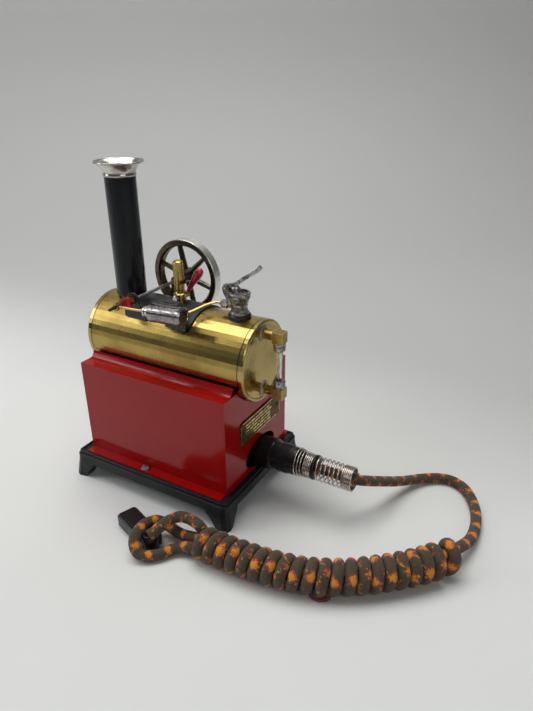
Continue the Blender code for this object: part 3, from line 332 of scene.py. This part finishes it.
def steel():
    """Plain machined steel with faint turning lines and grime."""
    m = Material("steel", roughness=0.3, metallic=1.0)
    grime = m.steps(m.noise(350, 5, rough=0.7), 0.52, 0.7)
    m.colour(m.mix(grime, (0.52, 0.50, 0.48), (0.16, 0.14, 0.12)))
    m.roughness(grime, 0.22, 0.5)
    m.bump((m.noise(1500, 2, stretch=(1, 6, 1)), 0.00001))
    return m


def wheel_iron():
    """Dark bronze-black casting whose tread is turned bright."""
    m = Material("wheel_iron", roughness=0.35, metallic=0.9)
    offset = m.node("ShaderNodeVectorMath", {0: m.place, 1: SHAFT_AT}, operation="SUBTRACT").outputs[0]
    parts = m.node("ShaderNodeSeparateXYZ", {0: offset})
    flat = m.node("ShaderNodeCombineXYZ", {"X": parts.outputs["X"], "Z": parts.outputs["Z"]}).outputs[0]
    reach = m.node("ShaderNodeVectorMath", {0: flat}, operation="LENGTH").outputs["Value"]
    tread = m.steps(reach, FLYWHEEL_RADIUS - 0.00042, FLYWHEEL_RADIUS - 0.00022)
    cloud = m.steps(m.noise(140, 5), 0.36, 0.7)
    dark = m.mix(cloud, (0.11, 0.092, 0.062), (0.045, 0.038, 0.030))
    dark = m.mix(m.math("MULTIPLY", m.worn_edges(0.0006), 0.7), dark, (0.34, 0.27, 0.16))
    lines = m.noise(1800, 1, stretch=(0.02, 1, 0.02))
    bright = m.mix(lines, (0.94, 0.92, 0.88), (0.74, 0.72, 0.68))
    m.colour(m.mix(tread, dark, bright))
    m.roughness(m.math("MULTIPLY", cloud, m.math("SUBTRACT", 1.0, tread)), 0.24, 0.5)
    m.bump((m.noise(900, 3), 0.00002), (lines, 0.00001))
    return m


def pewter():
    """Cast white metal gone dark grey in its hollows."""
    m = Material("pewter", roughness=0.4, metallic=1.0)
    dirt = m.steps(m.noise(300, 6, rough=0.72), 0.44, 0.62)
    base = m.mix(dirt, (0.42, 0.40, 0.375), (0.12, 0.11, 0.105))
    m.colour(m.mix(m.worn_edges(0.0004), base, (0.60, 0.57, 0.53)))
    m.roughness(dirt, 0.26, 0.55)
    m.bump((m.noise(620, 4), 0.00010), (m.noise(130, 2), 0.0003))
    return m


def crank_red():
    """Red paint chipped to dark metal."""
    m = Material("crank_red", roughness=0.25, Coat_Weight=0.3, Coat_Roughness=0.1)
    chips = m.steps(m.noise(420, 5, rough=0.7), 0.58, 0.64)
    m.colour(m.mix(chips, (0.42, 0.008, 0.012), (0.035, 0.03, 0.03)))
    m.roughness(chips, 0.2, 0.5)
    m.bump((chips, -0.00006))
    return m


def handle_red():
    """Glossy crimson moulding with faint flow marks."""
    m = Material("handle_red", roughness=0.14, Coat_Weight=0.5, Coat_Roughness=0.05)
    m.colour(m.mix(m.noise(130, 3), (0.40, 0.004, 0.030), (0.52, 0.008, 0.045)))
    m.roughness(m.noise(300, 4), 0.1, 0.24)
    m.bump((m.noise(160, 2), 0.0002))
    return m


def gauge_glass():
    """Clear glass with a little lime on it."""
    m = Material("gauge_glass", (0.96, 0.98, 0.97), 0.03, Transmission_Weight=1.0, IOR=1.46)
    m.roughness(m.steps(m.noise(260, 4), 0.55, 0.8), 0.02, 0.16)
    return m


def ceramic():
    """Off-white unglazed ceramic."""
    m = Material("ceramic", roughness=0.6)
    m.colour(m.mix(m.noise(200, 4), (0.62, 0.58, 0.50), (0.74, 0.70, 0.62)))
    m.bump((m.noise(1400, 3), 0.00004))
    return m


def bakelite():
    """Moulded black with a soft shine, dusty in places."""
    m = Material("bakelite", roughness=0.28, Coat_Weight=0.08, Coat_Roughness=0.2,
                 Specular_IOR_Level=0.3)
    dust = m.steps(m.noise(300, 6, rough=0.75), 0.62, 0.78)
    m.colour(m.mix(m.math("MULTIPLY", dust, 0.3), (0.006, 0.006, 0.007), (0.07, 0.068, 0.065)))
    m.roughness(m.noise(150, 4), 0.2, 0.42)
    m.bump((m.noise(1500, 2), 0.00001), (m.noise(90, 2), 0.0002))
    return m


def plate_brass():
    """Nameplate brass, with dark enamel left in its low ground."""
    m = Material("plate_brass", roughness=0.3, metallic=1.0)
    part = m.node("ShaderNodeSeparateXYZ", {0: m.place}).outputs["X"]
    raised = m.steps(part, (PLATE_FACE_X + FRAME_X + 0.08) * MM, (PLATE_FACE_X + FRAME_X + 0.2) * MM)
    toning = m.steps(m.noise(260, 5), 0.4, 0.7)
    high = m.mix(toning, (0.74, 0.58, 0.24), (0.46, 0.33, 0.12))
    low = m.mix(toning, (0.16, 0.115, 0.045), (0.06, 0.045, 0.02))
    m.colour(m.mix(raised, low, high))
    m.roughness(raised, 0.55, 0.26)
    m.bump((m.noise(900, 3), 0.00003))
    return m


def solder_grey():
    """Dull tin-grey solder round a fitting."""
    m = Material("solder_grey", roughness=0.38, metallic=1.0)
    m.colour(m.mix(m.noise(500, 4), (0.50, 0.49, 0.48), (0.26, 0.25, 0.25)))
    m.bump((m.noise(700, 3), 0.0001))
    return m


def cord_braid():
    """Brown-grey braid, its tracer threads crossing in orange patches edged magenta, with painted shade
    between the raised threads.

    The braid runs in the "lay" attribute: x goes once round the cord, y once for each tracer turn.
    """
    m = Material("cord_braid", roughness=0.85, Sheen_Weight=0.1, Sheen_Roughness=0.5)
    lay = m.node("ShaderNodeAttribute", attribute_name="lay").outputs["Vector"]
    parts = m.node("ShaderNodeSeparateXYZ", {0: lay})
    round_it, along = parts.outputs["X"], parts.outputs["Y"]
    drift = m.math("MULTIPLY", m.math("SUBTRACT", m.noise(70, 2), 0.5), 0.32)
    along = m.math("ADD", along, drift)
    right = m.math("ADD", along, round_it)
    left = m.math("SUBTRACT", along, round_it)
    cells = [m.math("DIVIDE", m.math("ROUND", m.math("MULTIPLY", d, BRAID_STRANDS * 2)), BRAID_STRANDS * 2)
             for d in (right, left)]
    bands = [m.math("ABSOLUTE", m.math("SUBTRACT", m.math("FRACT", c), 0.5)) for c in cells]
    cell = m.node("ShaderNodeCombineXYZ", {"X": cells[0], "Y": cells[1]}).outputs[0]
    thread = m.node("ShaderNodeTexWhiteNoise", {"Vector": cell}).outputs["Value"]
    ragged = m.math("ADD", m.math("MULTIPLY", m.math("SUBTRACT", thread, 0.5), 0.13),
                    m.math("MULTIPLY", m.math("SUBTRACT", m.noise(700, 3), 0.5), 0.2))
    crossing = m.math("ADD", m.math("MAXIMUM", *bands), ragged)
    single = m.math("ADD", m.math("MINIMUM", *bands), ragged)
    orange = m.steps(crossing, ORANGE_REACH, ORANGE_REACH + PATCH_BLUR, invert=True)
    fleck = m.math("MULTIPLY", m.steps(single, 0.012, 0.02, invert=True),
                   m.steps(m.noise(330, 2), 0.5, 0.56))
    magenta = m.steps(crossing, MAGENTA_REACH, MAGENTA_REACH + PATCH_BLUR, invert=True)
    heights = [m.math("ABSOLUTE", m.math("SINE", m.math("MULTIPLY", d, math.pi * BRAID_STRANDS)))
               for d in (right, left)]
    weave = m.math("MAXIMUM", *heights)
    fuzz = m.noise(1700, 3)
    mottle = m.math("MULTIPLY_ADD", thread, 0.6, m.math("MULTIPLY_ADD", fuzz, 0.8, -0.2))
    brown = m.mix(mottle, (0.030, 0.020, 0.011), (0.125, 0.088, 0.050))
    colour = m.mix(magenta, brown, (0.38, 0.015, 0.055))
    colour = m.mix(m.math("MAXIMUM", orange, fleck), colour, (0.74, 0.29, 0.012))
    # Painted shade: the colour is darkened where the threads dip between each other, as if in their shadow.
    painted_weave_shade = m.math("MULTIPLY_ADD", weave, 0.45, 0.55)
    dark = m.node("ShaderNodeVectorMath", {0: colour, 3: painted_weave_shade}, operation="SCALE").outputs[0]
    m.colour(dark)
    m.bump((weave, 0.00028), (fuzz, 0.00012))
    return m


def tie_red():
    """Dark red ribbon."""
    m = Material("tie_red", roughness=0.5)
    m.colour(m.mix(m.noise(600, 3), (0.11, 0.006, 0.014), (0.20, 0.012, 0.026)))
    m.bump((m.noise(1500, 2, stretch=(1, 0.2, 1)), 0.00005))
    return m


def floor_grey():
    """Matt pale board, barely mottled, with painted shade making it greyer behind the engine."""
    m = Material("floor_grey", roughness=0.6, Specular_IOR_Level=0.3)
    floor = m.mix(m.noise(6, 5), (0.68, 0.69, 0.675), (0.74, 0.75, 0.735))
    behind = m.node("ShaderNodeSeparateXYZ", {0: m.place}).outputs["Y"]
    # Painted shade: the floor is darkened over the first 0.26 m behind the engine.
    m.colour(m.mix(m.steps(behind, 0.0, 0.26), floor, (0.48, 0.485, 0.475)))
    return m


# Mesh helpers


def mesh_object(name, points, faces, material, smooth=True):
    mesh = bpy.data.meshes.new(name)
    mesh.from_pydata([tuple(p) for p in points], [], faces)
    mesh.polygons.foreach_set("use_smooth", [smooth] * len(mesh.polygons))
    mesh.materials.append(material)
    made = bpy.data.objects.new(name, mesh)
    bpy.context.scene.collection.objects.link(made)
    return made


def frames_along(route):
    """(point, across, up) at each point of a route, with no twist between them."""
    across = (route[1] - route[0]).normalized().orthogonal()
    found = []
    for i, spot in enumerate(route):
        along = (route[min(i + 1, len(route) - 1)] - route[max(i - 1, 0)]).normalized()
        across = (across - along * across.dot(along)).normalized()
        found.append((spot, across, along.cross(across)))
    return found


def tube(name, route, radius, sides, material):
    """A round closed tube along a route."""
    points, faces = [], []
    for spot, across, up in frames_along(route):
        for k in range(sides):
            a = 2 * math.pi * k / sides
            points.append(spot + (across * math.cos(a) + up * math.sin(a)) * radius)
    for i in range(len(route) - 1):
        for k in range(sides):
            a, b = i * sides + k, i * sides + (k + 1) % sides
            faces.append((a, b, b + sides, a + sides))
    faces.append(tuple(reversed(range(sides))))
    faces.append(tuple(range(len(points) - sides, len(points))))
    return mesh_object(name, points, faces, material)


def lathe(name, profile, centre, axis, sides, material, wobble=None):
    """A closed ring turned from a (radius, distance) profile about an axis, in millimetres."""
    axis = Vector(axis).normalized()
    across = axis.orthogonal().normalized()
    up = axis.cross(across)
    points, faces = [], []
    for k in range(sides):
        angle = 2 * math.pi * k / sides
        out = across * math.cos(angle) + up * math.sin(angle)
        for radius, distance in profile:
            if wobble:
                radius, distance = wobble(angle, radius, distance)
            points.append(centre + (out * radius + axis * distance) * MM)
    count = len(profile)
    for k in range(sides):
        for j in range(count):
            a, b = k * count + j, k * count + (j + 1) % count
            step = ((k + 1) % sides - k) * count
            faces.append((a, a + step, b + step, b))
    return mesh_object(name, points, faces, material)


def block(low, high):
    """Corners and faces of a box, to be gathered into one mesh."""
    corners = [Vector((x, y, z)) for x in (low[0], high[0]) for y in (low[1], high[1])
               for z in (low[2], high[2])]
    faces = [(0, 1, 3, 2), (4, 6, 7, 5), (0, 4, 5, 1), (2, 3, 7, 6), (0, 2, 6, 4), (1, 5, 7, 3)]
    return corners, faces


def gather(name, pieces, material, smooth=False):
    points, faces = [], []
    for corners, sides in pieces:
        start = len(points)
        points.extend(corners)
        faces.extend(tuple(start + i for i in side) for side in sides)
    return mesh_object(name, points, faces, material, smooth)


def soften(thing, width, segments=2, angle=35):
    """A small round on the sharp edges, so that they catch the light."""
    bevel = thing.modifiers.new("Bevel", "BEVEL")
    bevel.width = width * MM
    bevel.segments = segments
    bevel.limit_method = "ANGLE"
    bevel.angle_limit = math.radians(angle)
    bevel.harden_normals = True


def smooth_route(points, step):
    """Evenly spaced points, step apart, on a Catmull-Rom curve through the given ones."""
    ends = [points[0] * 2 - points[1], *points, points[-1] * 2 - points[-2]]
    dense = []
    for a, b, c, d in zip(ends, ends[1:], ends[2:], ends[3:]):
        for i in range(16):
            t = i / 16
            dense.append(0.5 * ((2 * b) + (c - a) * t + (2 * a - 5 * b + 4 * c - d) * t * t
                                + (3 * b - a - 3 * c + d) * t ** 3))
    dense.append(points[-1].copy())
    spaced, left = [dense[0]], step
    for a, b in zip(dense, dense[1:]):
        gap = (b - a).length
        while gap >= left and gap > 0:
            a = a + (b - a) * (left / gap)
            spaced.append(a)
            gap, left = (b - a).length, step
        left -= gap
    spaced[-1] = dense[-1]
    return spaced


# Mains cord


def hank_axis():
    """Middle line of the hank, from its lead end to its loop end."""
    return smooth_route([place(*p) for p in HANK_ROUTE], AXIS_STEP * MM)


def core_strand(axis, lift):
    """One of the two strands inside the wraps."""
    return [p + Vector((0, 0, lift * MM)) for p in axis[::12]]


def wraps(axis):
    """Turns of cord round the two core strands, opening from the last strand at the lead end."""
    last = len(axis) - 1
    turns = round(last * AXIS_STEP / WRAP_PITCH) + LAST_TURN
    route = []
    for i in range(2, round(turns * WRAP_STEPS) + 1):
        turn = i / WRAP_STEPS
        middle = round(turn / turns * last)
        along = (axis[min(middle + 6, last)] - axis[max(middle - 6, 0)]).normalized()
        side = along.cross(Vector((0, 0, 1))).normalized()
        opening = min(turn / 0.5, 1.0) ** 0.6
        radius = (CORE_OFFSET + (WRAP_RADIUS - CORE_OFFSET) * opening) * MM
        angle = 2 * math.pi * turn - math.pi / 2
        bulge = along * (-3.2 * MM * math.sin(math.pi * min(turn, 1.0)))
        route.append(axis[middle] + bulge + side * (math.cos(angle) * radius)
                     + Vector((0, 0, math.sin(angle) * radius)))
    return route


def cord_route():
    """The whole cord: lead, core, end loop, core back, wraps and tail."""
    axis = hank_axis()
    points = [place(*p) for p in LEAD_ROUTE]
    points += core_strand(axis, CORE_OFFSET)[1:-1]
    points += [place(*p) for p in LOOP_ROUTE]
    points += list(reversed(core_strand(axis, -CORE_OFFSET)))[1:-1]
    points += wraps(axis)
    points += [place(*p) for p in TAIL_ROUTE]
    return smooth_route(points, 1.7 * MM)


def build_cord(material):
    route = cord_route()
    sides = 16
    cord = tube("cord_flex", route, CORD_RADIUS * MM, sides, material)
    lay = cord.data.attributes.new("lay", "FLOAT_VECTOR", "CORNER")
    turns = [0.0]
    for a, b in zip(route, route[1:]):
        turns.append(turns[-1] + (b - a).length / MM / BRAID_PITCH)
    for face in cord.data.polygons:
        ring = [cord.data.loops[i].vertex_index for i in face.loop_indices]
        wraps_over = max(v % sides for v in ring) - min(v % sides for v in ring) > sides / 2
        for loop, vertex in zip(face.loop_indices, ring):
            k = vertex % sides
            share = 1.0 if wraps_over and k == 0 else k / sides
            lay.data[loop].vector = (share, turns[vertex // sides], 0)
    for vertex in cord.data.vertices:
        vertex.co.z = max(vertex.co.z, 0.0)
    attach(cord, "mains_lead")
    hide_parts("cord_lead", "cord_hank", "cord_loop", "cord_tail")
    return cord, route


# Spring, connector, plug and tie


def build_spring(material):
    """Strain-relief wire: open turns, a close group, open turns, and a close end."""
    groups = [(83.4, 3, 1.85, 8.9, 7.6), (89.4, 5, 1.12, 7.6, 7.2), (97.2, 6, 2.85, 7.2, 7.2),
              (114.6, 6, 1.12, 7.1, 7.1)]
    steps = 24
    route = []
    for start, turns, pitch, first, last in groups:
        for i in range(turns * steps + 1):
            share = i / (turns * steps)
            angle = 2 * math.pi * i / steps
            radius = first + (last - first) * share
            route.append(place(start + pitch * i / steps, INLET_Y + radius * math.cos(angle),
                               INLET_Z + radius * math.sin(angle)))
    spring = tube("spring_coil", route, SPRING_WIRE * MM, 8, material)
    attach(spring, "mains_lead")
    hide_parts("strain_relief_spring")
    return spring


def build_connector(material):
    """Moulded grips on the connector, and the dark collar that the spring is wound on."""
    centre = place(0, INLET_Y, INLET_Z)
    grips = []
    for i in range(5):
        at = 71.6 + i * 1.5
        profile = [(8.6, at), (9.45, at + 0.15), (9.45, at + 0.6), (8.6, at + 0.75)]
        ring = lathe(f"connector_grip_{i + 1}", profile, centre, (1, 0, 0), 48, material)
        grips.append(ring)
    neck_profile = [(3.3, 82.0), (6.5, 82.0), (6.5, 94.6), (7.9, 94.8), (7.9, 96.4), (6.2, 96.7), (3.3, 96.7)]
    neck = lathe("connector_neck", neck_profile, centre, (1, 0, 0), 40, material)
    for piece in (*grips, neck):
        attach(piece, "mains_lead")


def build_plug_details(material):
    """Raised panel on the plug's top, and the collar where the cord goes in."""
    corners, faces = block((-0.0120, -0.0046, -0.0002), (0.0080, 0.0046, 0.0006))
    turn = Matrix.Rotation(PLUG_ANGLE, 4, "Z")
    top = place(*PLUG_AT, PLUG_TOP)
    panel = gather("plug_panel", [([top + turn @ corner for corner in corners], faces)], material)
    soften(panel, 0.4, 3)
    profile = [(0.5, 0.8), (4.6, 0.8), (4.9, 1.2), (4.9, 9.6), (4.2, 11.4), (3.3, 11.8), (0.5, 8.0)]
    collar = lathe("plug_collar", profile, place(*CORD_ENTRY), (0, 0, 1), 32, material)
    for piece in (panel, collar):
        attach(piece, "mains_lead")


def build_tie(material):
    """Short ribbon lying beside the foot of the hank."""
    route = smooth_route([place(*p) for p in (
        (124.6, -65.4, 1.8), (127.4, -67.0, 1.4), (130.8, -67.0, 1.3), (133.8, -65.4, 1.5),
        (136.0, -62.6, 2.2))], 0.8 * MM)
    points, faces = [], []
    for spot, across, up in frames_along(route):
        for wide, thick in ((-1.3, -0.25), (1.3, -0.25), (1.3, 0.25), (-1.3, 0.25)):
            points.append(spot + Vector((0, 0, wide * MM)) * 0.8 + across * (thick * MM)
                          + up * (wide * 0.4 * MM))
    for i in range(len(route) - 1):
        for k in range(4):
            a, b = i * 4 + k, i * 4 + (k + 1) % 4
            faces.append((a, b, b + 4, a + 4))
    faces += [(3, 2, 1, 0), tuple(range(len(points) - 4, len(points)))]
    ribbon = mesh_object("hank_ribbon", points, faces, material)
    for vertex in ribbon.data.vertices:
        vertex.co.z = max(vertex.co.z, 0.0002)
    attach(ribbon, "mains_lead")
    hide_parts("cord_tie")
    return ribbon


# Engine details


def build_nameplate(material):
    """Plate with a raised border and plain raised bars in place of any lettering."""
    low, high = PLATE_Z
    left, right = PLATE_Y - PLATE_HALF_Y, PLATE_Y + PLATE_HALF_Y
    border, rows = 0.7, 5
    x = (PLATE_FACE_X - 0.02, PLATE_FACE_X + 0.28)
    pieces = []

    def bar(y0, y1, z0, z1):
        pieces.append(block(place(x[0], y0, z0), place(x[1], y1, z1)))

    bar(left + 2.0, right - 4.6, low + 0.3, low + 0.3 + border)
    bar(left + 2.0, right - 4.6, high - 0.3 - border, high - 0.3)
    bar(left + 0.3, left + 0.3 + border, low + 1.2, high - 2.0)
    bar(right - 0.3 - border, right - 0.3, low + 2.0, high - 4.6)
    height = (high - low - 4.2) / rows
    for row in range(rows):
        z = low + 2.1 + row * height
        at = left + 5.0 + (row % 2) * 1.4
        lengths = (5.2, 2.4, 3.6, 1.7, 4.4, 2.9)
        for i in range(7):
            wide = lengths[(i + row * 2) % len(lengths)]
            if at + wide > right - 5.0:
                break
            bar(at, at + wide, z + 0.35, z + height - 0.65)
            at += wide + 0.9
    relief = gather("nameplate_relief", pieces, material)
    soften(relief, 0.06, 1)
    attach(relief, "engine")


def build_solder_rings(material):
    """Grey solder where the gauge fittings enter the boiler end."""
    profile = [(0.75 * math.cos(a), 0.55 * math.sin(a)) for a in (2 * math.pi * k / 12 for k in range(12))]
    for name, z in zip(("solder_ring_lower", "solder_ring_upper"), GAUGE_Z):
        section = [(4.3 + r, 60.6 + d) for r, d in profile]
        ring = lathe(name, section, place(0, 0, z), (1, 0, 0), 40, material, ripple)
        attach(ring, "engine")


def ripple(angle, radius, distance):
    """Uneven edge of a solder fillet."""
    return radius + 0.16 * math.sin(5 * angle) + 0.1 * math.sin(9 * angle + 1), distance


def bent_rim(angle, radius, distance):
    """The cap's thin rim, dented slightly out of true."""
    share = max(distance - 198.0, 0.0) / 6.0
    return (radius + share * 0.2 * math.sin(2 * angle + 0.6),
            distance + share * (0.22 * math.sin(3 * angle + 1.1) + 0.12 * math.sin(7 * angle)))


def build_chimney_cap(material):
    """Flared cap with a rolled, slightly dented rim."""
    outside = [(9.7, 195.0), (10.1, 195.3), (10.1, 196.3), (9.75, 196.7), (9.9, 198.2), (11.2, 200.4),
               (12.8, 201.9), (14.0, 202.6)]
    rim = [(14.4 + 0.6 * math.cos(a), 203.2 + 0.6 * math.sin(a))
           for a in (math.radians(d) for d in (-60, -20, 20, 60, 100, 140, 180))]
    inside = [(12.4, 202.3), (10.6, 200.6), (9.3, 198.4), (8.8, 196.4), (8.7, 195.0)]
    profile = outside + rim + inside
    cap = lathe("cap_flare", profile, place(CHIMNEY_X, 0, 0), (0, 0, 1), 72, material, bent_rim)
    cap.modifiers.new("Smooth", "SUBSURF").render_levels = 1
    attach(cap, "engine")
    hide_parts("chimney_cap")


def build_end_pin(material):
    """Tiny pin head on the boiler's end plate."""
    profile = [(0.0, 60.2), (0.75, 60.2), (0.7, 60.75), (0.35, 60.95), (0.0, 61.0)]
    pin = lathe("end_pin", profile, place(0, -17.6, 78.0), (1, 0, 0), 16, material)
    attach(pin, "engine")


# Scene


def paint_frame(nodes, materials):
    """Each CAD node gets its slot's node material; the listed ones get a small round on their sharp edges,
    and the rest are shaded smooth with their sharp edges kept.
    """
    special = {"boiler_end_gauge": "boiler_end_brass", "boiler_end_chimney": "boiler_end_brass",
               "nameplate": "plate_brass", "cylinder": "cylinder_nickel", "piston_rod": "copper",
               "nameplate_rivet_near": "engine_black", "nameplate_rivet_far": "engine_black",
               "side_screw_near": "pewter", "side_screw_far": "pewter"}
    edges = {"base_casting": 0.5, "side_panel_near": 0.25, "side_panel_far": 0.25, "gauge_end_panel": 0.2,
             "chimney_end_panel": 0.2, "cord_plug": 0.4, "engine_frame": 0.15, "port_block": 0.3,
             "gauge_fitting_lower": 0.4, "gauge_fitting_upper": 0.4, "valve_lever": 0.3,
             "valve_base_nut": 0.4, "pipe_union_nut": 0.2, "flywheel": 0.15, "big_end_nut": 0.15,
             "pivot_nut": 0.15}
    for name, thing in nodes.items():
        for index, held in enumerate(thing.material_slots):
            kind = special.get(name, held.material.name.split(".")[0])
            thing.material_slots[index].material = materials[kind].data
        if name in edges:
            soften(thing, edges[name])
        else:
            thing.data.shade_smooth()
            thing.data.set_sharp_from_angle(angle=math.radians(32))


def area_light(name, at, toward, size, energy, colour=(1, 1, 1)):
    light = bpy.data.lights.new(name, "AREA")
    light.shape = "RECTANGLE"
    light.size, light.size_y = size
    light.energy = energy
    light.color = colour
    lamp = bpy.data.objects.new(name, light)
    lamp.location = at
    lamp.rotation_euler = (Vector(toward) - Vector(at)).to_track_quat("-Z", "Y").to_euler()
    bpy.context.scene.collection.objects.link(lamp)


def build_world():
    """Soft room light, brighter overhead than at the horizon."""
    world = bpy.data.worlds.new("room")
    bpy.context.scene.world = world
    world.use_nodes = True
    nodes, links = world.node_tree.nodes, world.node_tree.links
    up = nodes.new("ShaderNodeSeparateXYZ")
    links.new(nodes.new("ShaderNodeTexCoord").outputs["Generated"], up.inputs[0])
    ramp = nodes.new("ShaderNodeValToRGB")
    links.new(up.outputs["Z"], ramp.inputs[0])
    ramp.color_ramp.elements[0].position, ramp.color_ramp.elements[0].color = 0.0, (0.30, 0.31, 0.32, 1)
    ramp.color_ramp.elements[1].position, ramp.color_ramp.elements[1].color = 0.9, (0.95, 0.96, 1.0, 1)
    links.new(ramp.outputs[0], nodes["Background"].inputs["Color"])
    nodes["Background"].inputs["Strength"].default_value = 0.2


def build_backdrop(material):
    """Pale floor that curves up into a wall behind the engine."""
    rings = [(-1.6, 0.0), (0.55, 0.0)]
    rings += [(0.55 + 0.35 * math.sin(a), 0.35 - 0.35 * math.cos(a))
              for a in (math.radians(d) for d in range(10, 91, 10))]
    rings.append((0.90, 2.4))
    lean = Vector((-0.494, 0.8695, 0))
    wide = Vector((0.8695, 0.494, 0))
    points = [lean * d + wide * w + Vector((0, 0, z)) for d, z in rings for w in (-2.4, 2.4)]
    faces = [(2 * i, 2 * i + 1, 2 * i + 3, 2 * i + 2) for i in range(len(rings) - 1)]
    sweep = mesh_object("backdrop", points, faces, material)


def build_camera():
    azimuth, elevation = math.radians(CAMERA_AZIMUTH), math.radians(CAMERA_ELEVATION)
    forward = Vector((-math.sin(azimuth) * math.cos(elevation), math.cos(azimuth) * math.cos(elevation),
                      -math.sin(elevation)))
    lens = bpy.data.cameras.new("camera")
    lens.lens = CAMERA_LENS
    lens.sensor_width = 36
    lens.sensor_fit = "AUTO"
    lens.clip_start = 0.01
    camera = bpy.data.objects.new("camera", lens)
    camera.location = CAMERA_AT
    turn = forward.to_track_quat("-Z", "Y").to_euler()
    camera.rotation_euler = turn
    camera.rotation_euler.rotate_axis("Z", math.radians(CAMERA_ROLL))
    bpy.context.scene.collection.objects.link(camera)
    bpy.context.scene.camera = camera


def build_lights():
    area_light("overhead", (-0.25, 0.15, 1.3), (0, 0, 0.05), (1.3, 0.9), 15, (1.0, 0.99, 0.97))
    area_light("window", (-1.1, -0.7, 0.8), (0, 0, 0.08), (0.5, 0.9), 5, (0.96, 0.98, 1.0))
    area_light("fill", (1.2, -0.6, 0.7), (0.05, 0, 0.06), (0.7, 0.7), 2.5)


def build():
    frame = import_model()
    makers = (cast_black, red_enamel, polished_brass, dull_brass, boiler_end_brass, copper, chimney_black,
              nickel, engine_black, steel, wheel_iron, pewter, crank_red, handle_red, gauge_glass, ceramic,
              bakelite, plate_brass, solder_grey, spring_wire, cord_braid, tie_red, floor_grey)
    materials = {maker.__name__: maker() for maker in makers}
    materials["cylinder_nickel"] = nickel("cylinder_nickel", 0.25, (0.34, 0.32, 0.315), (0.17, 0.155, 0.165))
    data = {name: material.data for name, material in materials.items()}
    paint_frame(frame["nodes"], materials)
    cord, route = build_cord(data["cord_braid"])
    build_spring(data["spring_wire"])
    build_connector(data["bakelite"])
    build_plug_details(data["bakelite"])
    tie = build_tie(data["tie_red"])
    build_nameplate(data["plate_brass"])
    build_solder_rings(data["solder_grey"])
    build_chimney_cap(data["nickel"])
    build_end_pin(data["steel"])
    build_backdrop(data["floor_grey"])
    build_world()
    build_lights()
    build_camera()
    bpy.context.scene.view_settings.view_transform = "Standard"


build()
